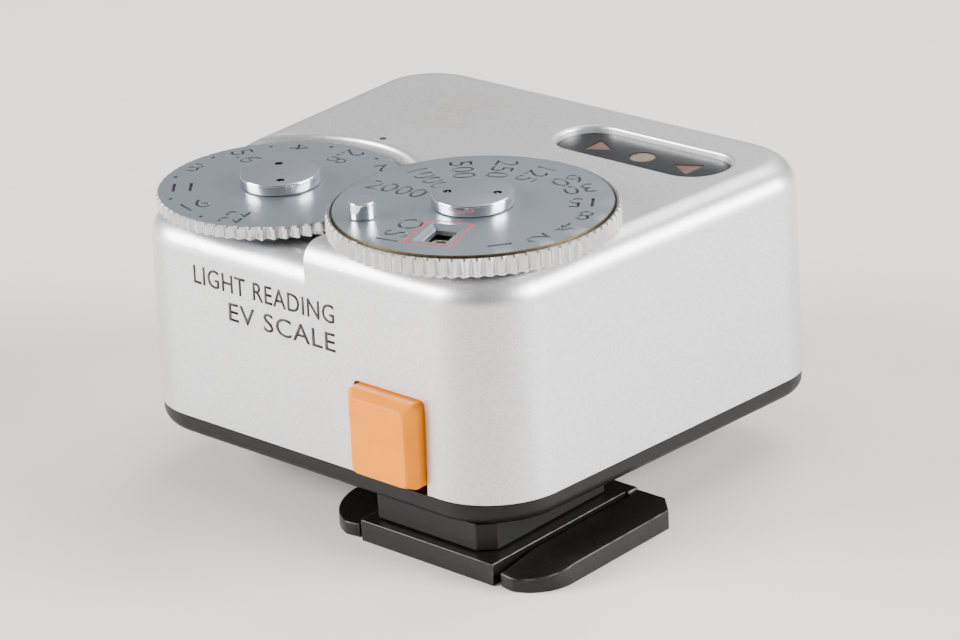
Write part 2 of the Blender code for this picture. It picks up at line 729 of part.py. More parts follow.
def lamps(parent):
    for name, x in zip(("lamp_left", "lamp_centre", "lamp_right"), LAMP_X):
        dome = [(math.cos(a) * 1.1, 9.2 + math.sin(a) * 1.1) for a in (0, math.pi / 6, math.pi / 3)]
        low = BOARD_TOP + 0.1
        profile = [(0, low), (1.3, low), (1.3, low + 0.5), (1.1, low + 0.5)]
        profile += dome + [(0, 10.3)]
        piece(name, parent, turned(profile, 12, None, (x, LAMP_Y)), "lamp_red")


def lamp_housing(parent):
    """The black block that keeps the lamps' light apart."""
    outline = rounded_box((LAMP_X[0] - 1.7, LAMP_X[2] + 1.7), (LAMP_Y - 1.8, LAMP_Y + 1.8), 1.4, 4)
    block = piece("lamp_housing", parent, prism(outline, BOARD_TOP + 0.1, 11.9), "dark_plastic")
    bores = bmesh.new()
    for x in LAMP_X:
        rod(1.42, BOARD_TOP - 1, 13, 14, bores, (x, LAMP_Y))
    cut(block, bores)


def mark_outline(index, size_change=0.0):
    """The left arrowhead, the middle dot or the right arrowhead, pointing at the dot."""
    centre = (LAMP_X[index], LAMP_Y)
    if index == 1:
        return circle(centre, DOT_RADIUS + size_change, 24)
    facing = 0 if index == 0 else 180
    return triangle(centre, MARK_SIZE + size_change * 2, facing)


def triangle(centre, radius, facing):
    """An equilateral triangle with one corner facing the given way."""
    points = []
    for corner in (0, 120, 240):
        angle = math.radians(facing + corner)
        points.append((centre[0] + radius * math.cos(angle), centre[1] + radius * math.sin(angle)))
    return points


def shrunk(span, margin):
    return (span[0] + margin, span[1] - margin)


def light_guide(parent):
    outline = rounded_box(shrunk(WINDOW_X, 0.4), shrunk(WINDOW_Y, 0.4), 1.9, 6)
    guide = piece("light_guide", parent, prism(outline, 12.0, PANE_BOTTOM - 0.1), "guide_milk")
    for index in range(3):
        add(guide, prism(mark_outline(index), 12.6, WINDOW_FLOOR - 0.04))


def window_pane(parent):
    outline = rounded_box(shrunk(WINDOW_X, 0.08), shrunk(WINDOW_Y, 0.08), 2.3, 8)
    pane = piece("window_pane", parent, prism(outline, PANE_BOTTOM, WINDOW_FLOOR), "pane_dark")
    for index in range(3):
        cut(pane, prism(mark_outline(index, 0.05), PANE_BOTTOM - 1, WINDOW_FLOOR + 1))


# ---------------------------------------------------------------- light sensor

def sensor_parts(parent):
    x, z = LENS_CENTRE
    front = DEPTH
    inner, outer = LENS_RADIUS + 0.1, BEZEL_HOLE - 0.1
    bezel = [(inner, front - 1.9), (outer, front - 1.9), (outer, front + 0.05), (outer + 0.6, front + 0.05),
             (outer + 0.6, front + 0.2), (outer + 0.45, front + 0.35), (inner + 0.3, front + 0.35),
             (inner, front + 0.05)]
    piece("lens_bezel", parent, turned_y(bezel, LENS_CENTRE), "dark_plastic")
    dome = [(0, front - 1.0), (LENS_RADIUS, front - 1.0), (LENS_RADIUS, front - 0.5)]
    dome += [(LENS_RADIUS * math.cos(a), front - 0.5 + 0.65 * math.sin(a)) for a in (0.4, 0.8, 1.2)]
    piece("sensor_lens", parent, turned_y(dome + [(0, front + 0.15)], LENS_CENTRE), "lens_glass")
    inner, outer = BEZEL_HOLE - 0.05, BEZEL_HOLE + 0.6
    back, face = front - 1.85, front - WALL - 0.1
    nut = [(inner, back), (outer, back), (outer, face), (inner, face)]
    piece("bezel_ring", parent, turned_y(nut, LENS_CENTRE), "steel")
    box_y = (front - 3.4, front - 2.2)
    piece("light_sensor", parent, box((x - 1.6, x + 1.6), box_y, (BOARD_TOP + 0.1, z + 1.7)), "dark_plastic")


# ---------------------------------------------------------------- battery

def battery_parts(parent):
    low = CELL_BOTTOM
    for name, bottom in (("cell_lower", low), ("cell_upper", low + CELL_HEIGHT + 0.05)):
        top = bottom + CELL_HEIGHT
        profile = [
            (0, bottom), (CELL_RADIUS - 0.9, bottom), (CELL_RADIUS - 0.9, bottom + 0.3),
            (CELL_RADIUS - 0.2, bottom + 0.3),
            (CELL_RADIUS, bottom + 0.5), (CELL_RADIUS, top - 0.2), (CELL_RADIUS - 0.2, top), (0, top),
        ]
        piece(name, parent, turned(profile, 24, None, BATTERY_CENTRE), "cell_steel")
    holder = [
        (CELL_RADIUS + 0.15, 0.25), (HOLDER_RADIUS, 0.25), (HOLDER_RADIUS, CEILING - 0.1),
        (2.5, CEILING - 0.1),
        (2.5, CEILING - 0.5), (CELL_RADIUS + 0.15, CEILING - 0.5),
    ]
    piece("battery_holder", parent, turned(holder, 36, None, BATTERY_CENTRE), "dark_plastic")
    top = low + 2 * CELL_HEIGHT + 0.1
    contact = [(1.2, top + 0.3), (1.4, top + 0.05), (4.8, top + 0.5), (4.8, top + 0.7), (1.4, top + 0.3)]
    piece("upper_contact", parent, turned(contact, 18, None, BATTERY_CENTRE), "brass")


def battery_cover(parent):
    """Built about its own axis: a plug with a coin slot below."""
    low, high = -BASE_DEPTH + 0.03, -0.3
    rim = COVER_RADIUS
    profile = [(0, low), (rim - 0.25, low), (rim, low + 0.2), (rim, high), (0, high)]
    cover = piece("battery_cover", parent, turned(profile, 36), "black")
    slot = rounded_box((-4.6, 4.6), (-0.65, 0.65), 0.6, 4)
    cut(cover, prism(slot, low - 1, low + 0.6))
    piece("lower_contact", parent, rod(4.6, -0.25, 0.1, 18), "brass")
    gasket = [(6.05, -0.05), (6.25, -0.25), (6.55, -0.25), (6.75, -0.05), (6.55, 0.18), (6.25, 0.18)]
    piece("cover_gasket", parent, turned(gasket, 24), "rubber")


# ---------------------------------------------------------------- assembly

def make_materials():
    material("silver", (0.66, 0.66, 0.68), 0.42, 0.6)
    material("black", (0.03, 0.03, 0.028), 0.5)
    material("foot_black", (0.012, 0.012, 0.012), 0.3)
    material("dial_metal", (0.29, 0.33, 0.37), 0.35, 0.9)
    material("rim_metal", (0.8, 0.8, 0.78), 0.3, 1.0)
    material("chrome", (0.85, 0.86, 0.88), 0.1, 1.0)
    material("steel", (0.6, 0.6, 0.6), 0.3, 1.0)
    material("zinc", (0.5, 0.5, 0.5), 0.4, 1.0)
    material("brass", (0.7, 0.5, 0.2), 0.3, 1.0)
    material("brass_dark", (0.1, 0.08, 0.05), 0.5, 0.8)
    material("orange", (1.0, 0.33, 0.02), 0.25)
    material("dark_plastic", (0.02, 0.02, 0.02), 0.5)
    material("board_green", (0.02, 0.16, 0.06), 0.5)
    material("ceramic_tan", (0.5, 0.38, 0.25), 0.6)
    material("lamp_red", (0.8, 0.25, 0.2), 0.2)
    material("guide_milk", (0.8, 0.6, 0.55), 0.3)
    material("pane_dark", (0.03, 0.035, 0.035), 0.15)
    material("lens_glass", (0.75, 0.8, 0.85), 0.1)
    material("cell_steel", (0.75, 0.75, 0.72), 0.3, 1.0)
    material("rubber", (0.02, 0.02, 0.02), 0.8)


def main():
    for thing in list(bpy.data.objects):
        bpy.data.objects.remove(thing)
    make_materials()

    housing = frame("housing_frame", (0, 0, 0))
    top_cover(housing)
    base_plate(housing)
    shoe_neck(housing)
    shoe_foot(housing)
    screws(housing)
    aperture_ball = ball_place(APERTURE_AXIS, APERTURE_BALL_ANGLE)
    click_parts("aperture", housing, aperture_ball, APERTURE_BOTTOM - 0.24, 11.55)
    speed_ball = ball_place(SPEED_AXIS, SPEED_BALL_ANGLE)
    click_parts("speed", housing, speed_ball, RING_BOTTOM - 0.24, 13.0)
    switch_body(housing)
    circuit_board(housing)
    meter_chip(housing)
    lamps(housing)
    lamp_housing(housing)
    light_guide(housing)
    window_pane(housing)
    sensor_parts(housing)
    battery_parts(housing)

    aperture = frame("aperture_axis", (*APERTURE_AXIS, 0))
    speed = frame("speed_axis", (*SPEED_AXIS, 0))
    aperture_dial(aperture)
    hub_cap("aperture_hub_cap", aperture, APERTURE_TOP + 0.03, APERTURE_SPANNER_ANGLE)
    shaft("aperture_shaft", aperture, APERTURE_BOTTOM - 0.03, APERTURE_TOP + 0.45)
    speed_ring(speed)
    film_scale(speed)
    disc_spring(speed)
    speed_disc(speed)
    film_post(speed)
    hub_cap("speed_hub_cap", speed, DISC_TOP + 0.03, SPEED_SPANNER_ANGLE)
    shaft("speed_shaft", speed, RING_BOTTOM - 0.03, DISC_TOP + 0.45)
    for name, axis, bush_top, washer_span in (
        ("aperture", aperture, STEP_FLOOR - 0.02, (STEP_FLOOR + 0.04, APERTURE_BOTTOM - 0.05)),
        ("speed", speed, HEIGHT - 0.15, (HEIGHT + 0.02, RING_BOTTOM - 0.05)),
    ):
        bush(f"{name}_bush", axis, bush_top)
        washer(f"{name}_washer", axis, *washer_span)
        clip(f"{name}_clip", axis)
        wiper(f"{name}_wiper", axis)
        pot_body(f"{name}_pot_body", axis)
        pot_track(f"{name}_pot_track", axis)

    button = frame("button_axis", ((BUTTON_X[0] + BUTTON_X[1]) / 2, 0, 0))
    measure_button(button)
    switch_plunger(button)

    cover = frame("battery_axis", (*BATTERY_CENTRE, 0))
    battery_cover(cover)


main()
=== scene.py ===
"""Looks of the shoe-mount light meter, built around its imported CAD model.

Shapes are made in millimetres in the body frame: x to the right and y forward from the cover's rear left
corner, z up from its lower edge. Dial, button and battery pieces are made about their own axes.
"""
import math
import random

import bmesh
import bpy
from mathutils import Matrix, Vector


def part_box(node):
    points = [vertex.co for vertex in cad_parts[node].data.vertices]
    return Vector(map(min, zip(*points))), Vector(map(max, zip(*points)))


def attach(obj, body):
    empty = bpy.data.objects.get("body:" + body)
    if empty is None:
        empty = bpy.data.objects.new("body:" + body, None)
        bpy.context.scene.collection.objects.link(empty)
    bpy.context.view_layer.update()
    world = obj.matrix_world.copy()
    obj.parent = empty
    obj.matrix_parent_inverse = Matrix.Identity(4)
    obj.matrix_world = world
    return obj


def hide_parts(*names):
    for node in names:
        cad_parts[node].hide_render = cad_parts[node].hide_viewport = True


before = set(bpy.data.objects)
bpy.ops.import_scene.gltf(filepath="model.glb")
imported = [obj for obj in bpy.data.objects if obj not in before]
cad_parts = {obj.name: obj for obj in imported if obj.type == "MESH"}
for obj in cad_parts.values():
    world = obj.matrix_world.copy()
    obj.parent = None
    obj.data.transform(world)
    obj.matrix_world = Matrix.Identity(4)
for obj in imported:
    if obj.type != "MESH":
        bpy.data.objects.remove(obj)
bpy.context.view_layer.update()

MM = 0.001


def extent(node):
    """Lowest and highest corners of a CAD node, in millimetres of the row frame."""
    low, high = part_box(node)
    return Vector(low) / MM, Vector(high) / MM


# ---------------------------------------------------------------- sizes read from the frame

COVER_LOW, COVER_HIGH = extent("top_cover")
WIDTH = 32.35
DEPTH, HEIGHT = (COVER_HIGH - COVER_LOW).yz
ORIGIN = Vector(((COVER_LOW.x + COVER_HIGH.x - WIDTH) / 2, COVER_LOW.y, COVER_LOW.z))
SPREAD = 0.0625
CORNER = 4.95
TOP_FILLET = 1.73
DRAFT = 0.31
WALL = 1.1
CEILING = 12.3
STEP_FLOOR = 13.2
STEP_RADIUS = 9.12
STEP_SIDE_X = 16.6


def middle(node):
    """The middle of a CAD node in the body frame, in millimetres."""
    low, high = extent(node)
    return (low + high) / 2 - ORIGIN


def span(node, axis):
    """Lowest and highest coordinate of a CAD node along one axis of the body frame."""
    low, high = extent(node)
    return low[axis] - ORIGIN[axis], high[axis] - ORIGIN[axis]


APERTURE_AXIS = middle("aperture_dial").xy
SPEED_AXIS = middle("speed_ring").xy
BATTERY_AXIS = middle("battery_cover").xy
BUTTON_MIDDLE = middle("measure_button").x
FOOT_CENTRE = middle("shoe_foot").xy
LENS_CENTRE = (middle("lens_bezel").x, middle("lens_bezel").z)


# ---------------------------------------------------------------- outlines

def arc(centre, radius, start, end, steps):
    points = []
    for i in range(steps + 1):
        angle = math.radians(start + (end - start) * i / steps)
        points.append((centre[0] + radius * math.cos(angle), centre[1] + radius * math.sin(angle)))
    return points


def circle(centre, radius, steps):
    return arc(centre, radius, 0, 360 * (steps - 1) / steps, steps - 1)


def rounded_box(x, y, radius, steps=10):
    points = []
    for cx, cy, start in (
        (x[1] - radius, y[1] - radius, 0),
        (x[0] + radius, y[1] - radius, 90),
        (x[0] + radius, y[0] + radius, 180),
        (x[1] - radius, y[0] + radius, 270),
    ):
        points += arc((cx, cy), radius, start, start + 90, steps)
    return points


def spread(y):
    """How much wider the cover is at y than at its rear face: its sides lean out towards the front."""
    return 1 + SPREAD * y / (WIDTH / 2)


def body_outline(inset, steps=16):
    points = rounded_box((inset, WIDTH - inset), (inset, DEPTH - inset), CORNER - inset, steps)
    return [(WIDTH / 2 + (x - WIDTH / 2) * spread(y), y) for x, y in points]


def turn(point, angle):
    a = math.radians(angle)
    return (point[0] * math.cos(a) - point[1] * math.sin(a), point[0] * math.sin(a) + point[1] * math.cos(a))


def offset(outline, distance):
    """The closed anticlockwise outline moved outwards along its corners' normals."""
    moved = []
    count = len(outline)
    for i, (x, y) in enumerate(outline):
        before = Vector(outline[i - 1])
        after = Vector(outline[(i + 1) % count])
        here = Vector((x, y))
        first = (here - before).normalized()
        second = (after - here).normalized()
        normal = Vector((first.y + second.y, -first.x - second.x))
        normal.normalize()
        stretch = max(normal.dot(Vector((first.y, -first.x))), 0.3)
        moved.append((x + normal.x * distance / stretch, y + normal.y * distance / stretch))
    return moved


# ---------------------------------------------------------------- solids

def loft(mesh, rings):
    loops = [[mesh.verts.new(point) for point in ring] for ring in rings]
    for lower, upper in zip(loops, loops[1:]):
        for i, vert in enumerate(lower):
            j = (i + 1) % len(lower)
            mesh.faces.new((vert, lower[j], upper[j], upper[i]))
    mesh.faces.new(loops[0][::-1])
    mesh.faces.new(loops[-1])
    return mesh


def prism(outline, low, high, mesh=None):
    return loft(mesh or bmesh.new(), [[(x, y, z) for x, y in outline] for z in (low, high)])


def box(x, y, z, mesh=None):
    outline = [(x[0], y[0]), (x[1], y[0]), (x[1], y[1]), (x[0], y[1])]
    return prism(outline, z[0], z[1], mesh)


def turned(profile, steps, mesh=None, centre=(0, 0)):
    """A closed profile of (radius, height) pairs turned about the vertical through centre."""
    mesh = mesh or bmesh.new()
    columns = []
    for r, z in profile:
        if r == 0:
            columns.append([mesh.verts.new((centre[0], centre[1], z))] * steps)
        else:
            columns.append([mesh.verts.new((x, y, z)) for x, y in circle(centre, r, steps)])
    for near, far in zip(columns, columns[1:] + columns[:1]):
        for i in range(steps):
            j = (i + 1) % steps
            corners = list(dict.fromkeys((near[i], near[j], far[j], far[i])))
            if len(corners) > 2:
                mesh.faces.new(corners)
    return mesh


def rod(radius, low, high, steps=32, mesh=None, centre=(0, 0)):
    return turned([(0, low), (radius, low), (radius, high), (0, high)], steps, mesh, centre)


def ring(inner, outer, low, high, steps=96, mesh=None, centre=(0, 0)):
    return turned([(inner, low), (outer, low), (outer, high), (inner, high)], steps, mesh, centre)


def rod_y(radius, centre, y, steps=32, mesh=None):
    return loft(mesh or bmesh.new(), [[(px, d, pz) for px, pz in circle(centre, radius, steps)] for d in y])


def turned_y(profile, centre, steps=96):
    mesh = turned(profile, steps)
    for vert in mesh.verts:
        x, y, z = vert.co
        vert.co = (centre[0] + x, z, centre[1] - y)
    return mesh


def corner_round(r_outer, z_outer, size, steps=5):
    """Points of a rounded convex corner of a turned profile, from the side to the top."""
    points = []
    for i in range(steps + 1):
        a = math.pi / 2 * i / steps
        points.append((r_outer - size * (1 - math.cos(a)), z_outer - size * (1 - math.sin(a))))
    return points


def to_object(name, mesh, place=(0, 0, 0)):
    """A mesh object, still in millimetres of the body frame, from a bmesh made about a place in it."""
    bmesh.ops.recalc_face_normals(mesh, faces=mesh.faces)
    mesh.transform(Matrix.Translation(place))
    data = bpy.data.meshes.new(name)
    mesh.to_mesh(data)
    mesh.free()
    thing = bpy.data.objects.new(name, data)
    bpy.context.scene.collection.objects.link(thing)
    return thing


def apply_all(thing):
    """Replaces the object's mesh by its evaluated one, without modifiers."""
    graph = bpy.context.evaluated_depsgraph_get()
    data = bpy.data.meshes.new_from_object(thing.evaluated_get(graph))
    thing.modifiers.clear()
    old = thing.data
    thing.data = data
    bpy.data.meshes.remove(old)


def carve(thing, mesh, place=(0, 0, 0), operation="DIFFERENCE"):
    """Cuts or joins a closed bmesh, made about the same place, at once."""
    tool = to_object(thing.name + "_tool", mesh, place)
    step = thing.modifiers.new("carve", "BOOLEAN")
    step.operation = operation
    step.object = tool
    step.solver = "EXACT"
    apply_all(thing)
    bpy.data.objects.remove(tool)


def soften(thing, width, segments=3, angle=35, material=-1):
    """Rounds the sharp edges; the new faces may take another material."""
    step = thing.modifiers.new("soften", "BEVEL")
    step.width = width
    step.segments = segments
    step.limit_method = "ANGLE"
    step.angle_limit = math.radians(angle)
    step.material = material
    step.use_clamp_overlap = True
    apply_all(thing)


def smooth(thing, angle=35):
    """Smooth shading whose normals follow the large faces."""
    thing.data.shade_smooth()
    thing.data.set_sharp_from_angle(angle=math.radians(angle))
    step = thing.modifiers.new("normals", "WEIGHTED_NORMAL")
    step.keep_sharp = True
    apply_all(thing)


def to_metres(thing):
    """Moves a mesh from millimetres of the body frame to metres of the row frame."""
    thing.data.transform(Matrix.Translation(ORIGIN * MM) @ Matrix.Diagonal((MM, MM, MM, 1)))


def place(thing, body, nodes, slot, *materials, angle=35):
    """Finishes a piece: shading, materials, its body and the CAD nodes it stands for; slot is not used."""
    for shade in materials:
        if shade.name not in thing.data.materials:
            thing.data.materials.append(shade)
    to_metres(thing)
    smooth(thing, angle)
    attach(thing, body)
    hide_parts(*nodes)
    return thing


# ---------------------------------------------------------------- materials

class Shade:
    """A material made of a Principled shader and what feeds it."""

    def __init__(self, name, colour, roughness, metallic=0.0, **sockets):
        self.material = bpy.data.materials.new(name)
        self.material.use_nodes = True
        self.tree = self.material.node_tree
        self.shader = self.tree.nodes["Principled BSDF"]
        self.set("Base Color", (*colour, 1.0))
        self.set("Roughness", roughness)
        self.set("Metallic", metallic)
        for socket, value in sockets.items():
            self.set(socket.replace("_", " "), value)
        self.coordinates = self.node("ShaderNodeTexCoord").outputs["Object"]
        self.height = None

    def set(self, socket, value):
        self.shader.inputs[socket].default_value = value

    def node(self, kind, **settings):
        made = self.tree.nodes.new(kind)
        for key, value in settings.items():
            setattr(made, key, value)
        return made

    def link(self, output, target):
        self.tree.links.new(output, target)

    def noise(self, size, detail=3.0, roughness=0.55, stretch=None, distortion=0.0):
        """Noise whose lumps are about size millimetres across."""
        texture = self.node("ShaderNodeTexNoise")
        texture.inputs["Scale"].default_value = 1.0 / (size * MM)
        texture.inputs["Detail"].default_value = detail
        texture.inputs["Roughness"].default_value = roughness
        texture.inputs["Distortion"].default_value = distortion
        self.link(self.stretched(stretch), texture.inputs["Vector"])
        return texture.outputs["Fac"]

    def stretched(self, stretch):
        if not stretch:
            return self.coordinates
        mapping = self.node("ShaderNodeMapping")
        mapping.inputs["Scale"].default_value = stretch
        self.link(self.coordinates, mapping.inputs["Vector"])
        return mapping.outputs["Vector"]

    def cells(self, size, output="Color"):
        texture = self.node("ShaderNodeTexVoronoi")
        texture.inputs["Scale"].default_value = 1.0 / (size * MM)
        self.link(self.coordinates, texture.inputs["Vector"])
        return texture.outputs[output]

    def ramp(self, value, *stops):
        """A colour ramp; each stop is (position, grey or colour)."""
        ramp = self.node("ShaderNodeValToRGB")
        self.link(value, ramp.inputs["Fac"])
        points = ramp.color_ramp.elements
        while len(points) < len(stops):
            points.new(0.5)
        for point, (position, colour) in zip(points, stops):
            point.position = position
            if isinstance(colour, (int, float)):
                colour = (colour, colour, colour)
            point.color = (*colour, 1.0)
        return ramp.outputs["Color"]

    def value(self, amount, low, high):
        """Maps 0..1 to low..high."""
        mapped = self.node("ShaderNodeMapRange")
        self.link(amount, mapped.inputs["Value"])
        mapped.inputs["To Min"].default_value = low
        mapped.inputs["To Max"].default_value = high
        return mapped.outputs["Result"]

    def math(self, operation, a, b):
        made = self.node("ShaderNodeMath", operation=operation)
        for i, value in enumerate((a, b)):
            if isinstance(value, (int, float)):
                made.inputs[i].default_value = value
            else:
                self.link(value, made.inputs[i])
        return made.outputs["Value"]

    def mix(self, amount, a, b, blend="MIX"):
        made = self.node("ShaderNodeMix", data_type="RGBA", blend_type=blend)
        for socket, value in (("Factor", amount), ("A", a), ("B", b)):
            target = [s for s in made.inputs if s.name == socket and s.enabled][0]
            if isinstance(value, (int, float)):
                target.default_value = value
            elif isinstance(value, tuple):
                target.default_value = (*value, 1.0)
            else:
                self.link(value, target)
        return [s for s in made.outputs if s.enabled][0]

    def feed(self, socket, output):
        self.link(output, self.shader.inputs[socket])

    def bump(self, height, depth, strength=1.0):
        """Adds a bump whose full height is depth millimetres."""
        made = self.node("ShaderNodeBump")
        made.inputs["Strength"].default_value = strength
        made.inputs["Distance"].default_value = depth * MM
        self.link(height, made.inputs["Height"])
        if self.height:
            self.link(self.height, made.inputs["Normal"])
        self.height = made.outputs["Normal"]
        self.feed("Normal", self.height)


def blob_mask(shade, centre, radius, softness):
    """1 within radius of a place in the body frame, in millimetres, fading over softness."""
    spot = (Vector(centre) + ORIGIN) * MM
    distance = shade.node("ShaderNodeVectorMath", operation="DISTANCE")
    shade.link(shade.coordinates, distance.inputs[0])
    distance.inputs[1].default_value = spot
    mapped = shade.node("ShaderNodeMapRange")
    shade.link(distance.outputs["Value"], mapped.inputs["Value"])
    mapped.inputs["From Min"].default_value = (radius + softness) * MM
    mapped.inputs["From Max"].default_value = radius * MM
    return mapped.outputs["Result"]


def silver_paint():
    shade = Shade("silver_paint", (0.6, 0.6, 0.61), 0.34, 0.85, Coat_Weight=0.12, Coat_Roughness=0.25)
    flakes = shade.ramp(shade.cells(0.085), (0.0, (0.56, 0.56, 0.575)), (1.0, (0.8, 0.8, 0.815)))
    cloud = shade.noise(4.0, 2.0)
    tone = shade.mix(shade.value(cloud, 0.0, 0.25), flakes, (0.68, 0.68, 0.695))
    stain_noise = shade.ramp(shade.noise(0.8, 4.0, 0.6, distortion=0.5), (0.42, 0.0), (0.68, 1.0))
    stain = shade.math("MULTIPLY", blob_mask(shade, (8.0, 24.4, HEIGHT), 1.8, 2.8), stain_noise)
    tone = shade.mix(shade.math("MULTIPLY", stain, 0.6), tone, (0.55, 0.49, 0.27))
    specks = shade.ramp(shade.noise(0.35, 2.0, 0.5), (0.74, 0.0), (0.78, 1.0))
    tone = shade.mix(shade.math("MULTIPLY", specks, 0.25), tone, (0.3, 0.29, 0.27))
    shade.feed("Base Color", tone)
    shade.feed("Roughness", shade.value(shade.noise(0.16, 2.0), 0.3, 0.48))
    shade.bump(shade.cells(0.085, "Distance"), 0.006, 0.35)
    shade.bump(shade.noise(0.55, 2.0), 0.006, 0.4)
    return shade.material


def cover_inside():
    shade = Shade("cover_inside", (0.05, 0.05, 0.05), 0.6)
    shade.feed("Roughness", shade.value(shade.noise(0.4), 0.5, 0.75))
    return shade.material


def black_plastic():
    shade = Shade("black_plastic", (0.01, 0.01, 0.009), 0.48, Specular_IOR_Level=0.22)
    dust = shade.ramp(shade.noise(0.12, 3.0, 0.6), (0.66, 0.0), (0.74, 1.0))
    tone = shade.mix(shade.math("MULTIPLY", dust, 0.15), (0.008, 0.008, 0.0075), (0.12, 0.115, 0.1))
    shade.feed("Base Color", tone)
    shade.feed("Roughness", shade.value(shade.noise(0.5), 0.34, 0.55))
    shade.bump(shade.noise(0.18, 2.0), 0.008, 0.5)
    return shade.material


def foot_black(edge_wear_and_highlight):
    """Glossy black moulding with dust; the other one, for its bevelled edges, adds lighter patches that are
    partly rubbed wear and partly painted edge highlight.
    """
    name = "foot_edge_wear_and_highlight" if edge_wear_and_highlight else "foot_black"
    shade = Shade(name, (0.006, 0.006, 0.005), 0.3, Specular_IOR_Level=0.3)
    dust = shade.ramp(shade.noise(0.14, 4.0, 0.65), (0.62, 0.0), (0.7, 1.0))
    tone = shade.mix(shade.math("MULTIPLY", dust, 0.22), (0.005, 0.005, 0.0045), (0.2, 0.19, 0.16))
    if edge_wear_and_highlight:
        # lighter patches on the bevels: partly rubbed wear, partly painted edge highlight
        wear_and_highlight = shade.ramp(shade.noise(0.7, 4.0, 0.6), (0.4, 0.0), (0.58, 1.0))
        tone = shade.mix(shade.math("MULTIPLY", wear_and_highlight, 0.35), tone, (0.13, 0.127, 0.12))
    shade.feed("Base Color", tone)
    shade.feed("Roughness", shade.value(shade.noise(0.3, 3.0), 0.2, 0.45))
    shade.bump(shade.noise(0.9, 3.0, 0.5, stretch=(1, 3, 1)), 0.02, 0.4)
    return shade.material


def dial_metal():
    shade = Shade("dial_metal", (0.3, 0.335, 0.37), 0.34, 0.85)
    grain = shade.noise(0.06, 3.0, 0.6)
    tone = shade.ramp(grain, (0.3, (0.27, 0.305, 0.34)), (0.7, (0.36, 0.4, 0.44)))
    specks = shade.ramp(shade.noise(0.25, 2.0, 0.5), (0.7, 0.0), (0.76, 1.0))
    tone = shade.mix(shade.math("MULTIPLY", specks, 0.35), tone, (0.12, 0.12, 0.12))
    shade.feed("Base Color", tone)
    shade.feed("Roughness", shade.value(shade.noise(0.09, 2.0), 0.26, 0.44))
    shade.bump(grain, 0.004, 0.5)
    return shade.material


def rim_metal():
    shade = Shade("rim_metal", (0.8, 0.79, 0.77), 0.26, 1.0)
    drag = shade.noise(0.12, 3.0, 0.6, stretch=(1, 1, 0.2))
    shade.feed("Base Color", shade.ramp(drag, (0.3, (0.5, 0.5, 0.5)), (0.7, (0.7, 0.7, 0.7))))
    shade.feed("Roughness", shade.value(shade.noise(0.1, 2.0), 0.14, 0.28))
    shade.bump(drag, 0.004, 0.4)
    return shade.material


def chrome():
    shade = Shade("chrome", (0.86, 0.87, 0.89), 0.08, 1.0)
    shade.feed("Roughness", shade.value(shade.noise(0.3, 3.0), 0.05, 0.14))
    return shade.material


def satin_chrome():
    """The hub caps' blasted tops."""
    shade = Shade("satin_chrome", (0.36, 0.395, 0.43), 0.34, 0.9)
    grain = shade.noise(0.08, 3.0, 0.6)
    shade.feed("Base Color", shade.ramp(grain, (0.3, (0.31, 0.345, 0.38)), (0.7, (0.42, 0.455, 0.49))))
    shade.feed("Roughness", shade.value(shade.noise(0.12, 2.0), 0.28, 0.42))
    shade.bump(grain, 0.003, 0.3)
    return shade.material


def paint_black():
    shade = Shade("engraving_black", (0.012, 0.012, 0.012), 0.45)
    shade.feed("Roughness", shade.value(shade.noise(0.1), 0.35, 0.6))
    return shade.material


def paint_red():
    shade = Shade("frame_red", (0.55, 0.05, 0.06), 0.42)
    tone = shade.ramp(shade.noise(0.15), (0.3, (0.5, 0.04, 0.05)), (0.7, (0.68, 0.1, 0.11)))
    shade.feed("Base Color", tone)
    return shade.material


def orange_plastic():
    shade = Shade("orange_plastic", (0.95, 0.27, 0.0), 0.3, Subsurface_Weight=0.05, Subsurface_Scale=0.0008,
                  Subsurface_Radius=(1.0, 0.35, 0.1), Specular_IOR_Level=0.1)
    cloud = shade.noise(2.0, 2.0)
    shade.feed("Base Color", shade.ramp(cloud, (0.3, (0.93, 0.26, 0.0)), (0.7, (0.98, 0.285, 0.0))))
    shade.feed("Roughness", shade.value(shade.noise(0.4, 3.0), 0.24, 0.38))
    shade.bump(shade.noise(0.6, 2.0), 0.004, 0.3)
    return shade.material


def pane_plastic():
    shade = Shade("pane_plastic", (0.03, 0.034, 0.036), 0.3, Specular_IOR_Level=0.12)
    tone = shade.ramp(shade.noise(0.5), (0.3, (0.012, 0.0135, 0.0145)), (0.7, (0.02, 0.022, 0.023)))
    shade.feed("Base Color", tone)
    shade.bump(shade.noise(0.3), 0.004, 0.3)
    return shade.material


def mark_resin(name, colour, lighter):
    shade = Shade(name, colour, 0.35, Subsurface_Weight=0.2, Subsurface_Scale=0.0005)
    shade.feed("Base Color", shade.ramp(shade.noise(0.5, 3.0), (0.3, colour), (0.7, lighter)))
    shade.feed("Roughness", shade.value(shade.noise(0.2), 0.28, 0.45))
    return shade.material


def plain_metal(name, dark, light, roughness=0.3):
    shade = Shade(name, dark, roughness, 1.0)
    grain = shade.noise(0.15, 3.0, 0.6)
    shade.feed("Base Color", shade.ramp(grain, (0.3, dark), (0.7, light)))
    shade.feed("Roughness", shade.value(shade.noise(0.3), roughness - 0.08, roughness + 0.12))
    shade.bump(grain, 0.003, 0.3)
    return shade.material


def plain_plastic(name, dark, light, roughness=0.5, metallic=0.0):
    shade = Shade(name, dark, roughness, metallic)
    shade.feed("Base Color", shade.ramp(shade.noise(0.6, 3.0), (0.3, dark), (0.7, light)))
    shade.feed("Roughness", shade.value(shade.noise(0.25), roughness - 0.08, roughness + 0.12))
    shade.bump(shade.noise(0.2, 2.0), 0.005, 0.4)
    return shade.material


def frosted_lens():
    shade = Shade("frosted_lens", (0.72, 0.76, 0.78), 0.28, Subsurface_Weight=0.5, Subsurface_Scale=0.001,
                  Coat_Weight=0.4, Coat_Roughness=0.1)
    shade.bump(shade.noise(0.1), 0.004, 0.4)
    return shade.material


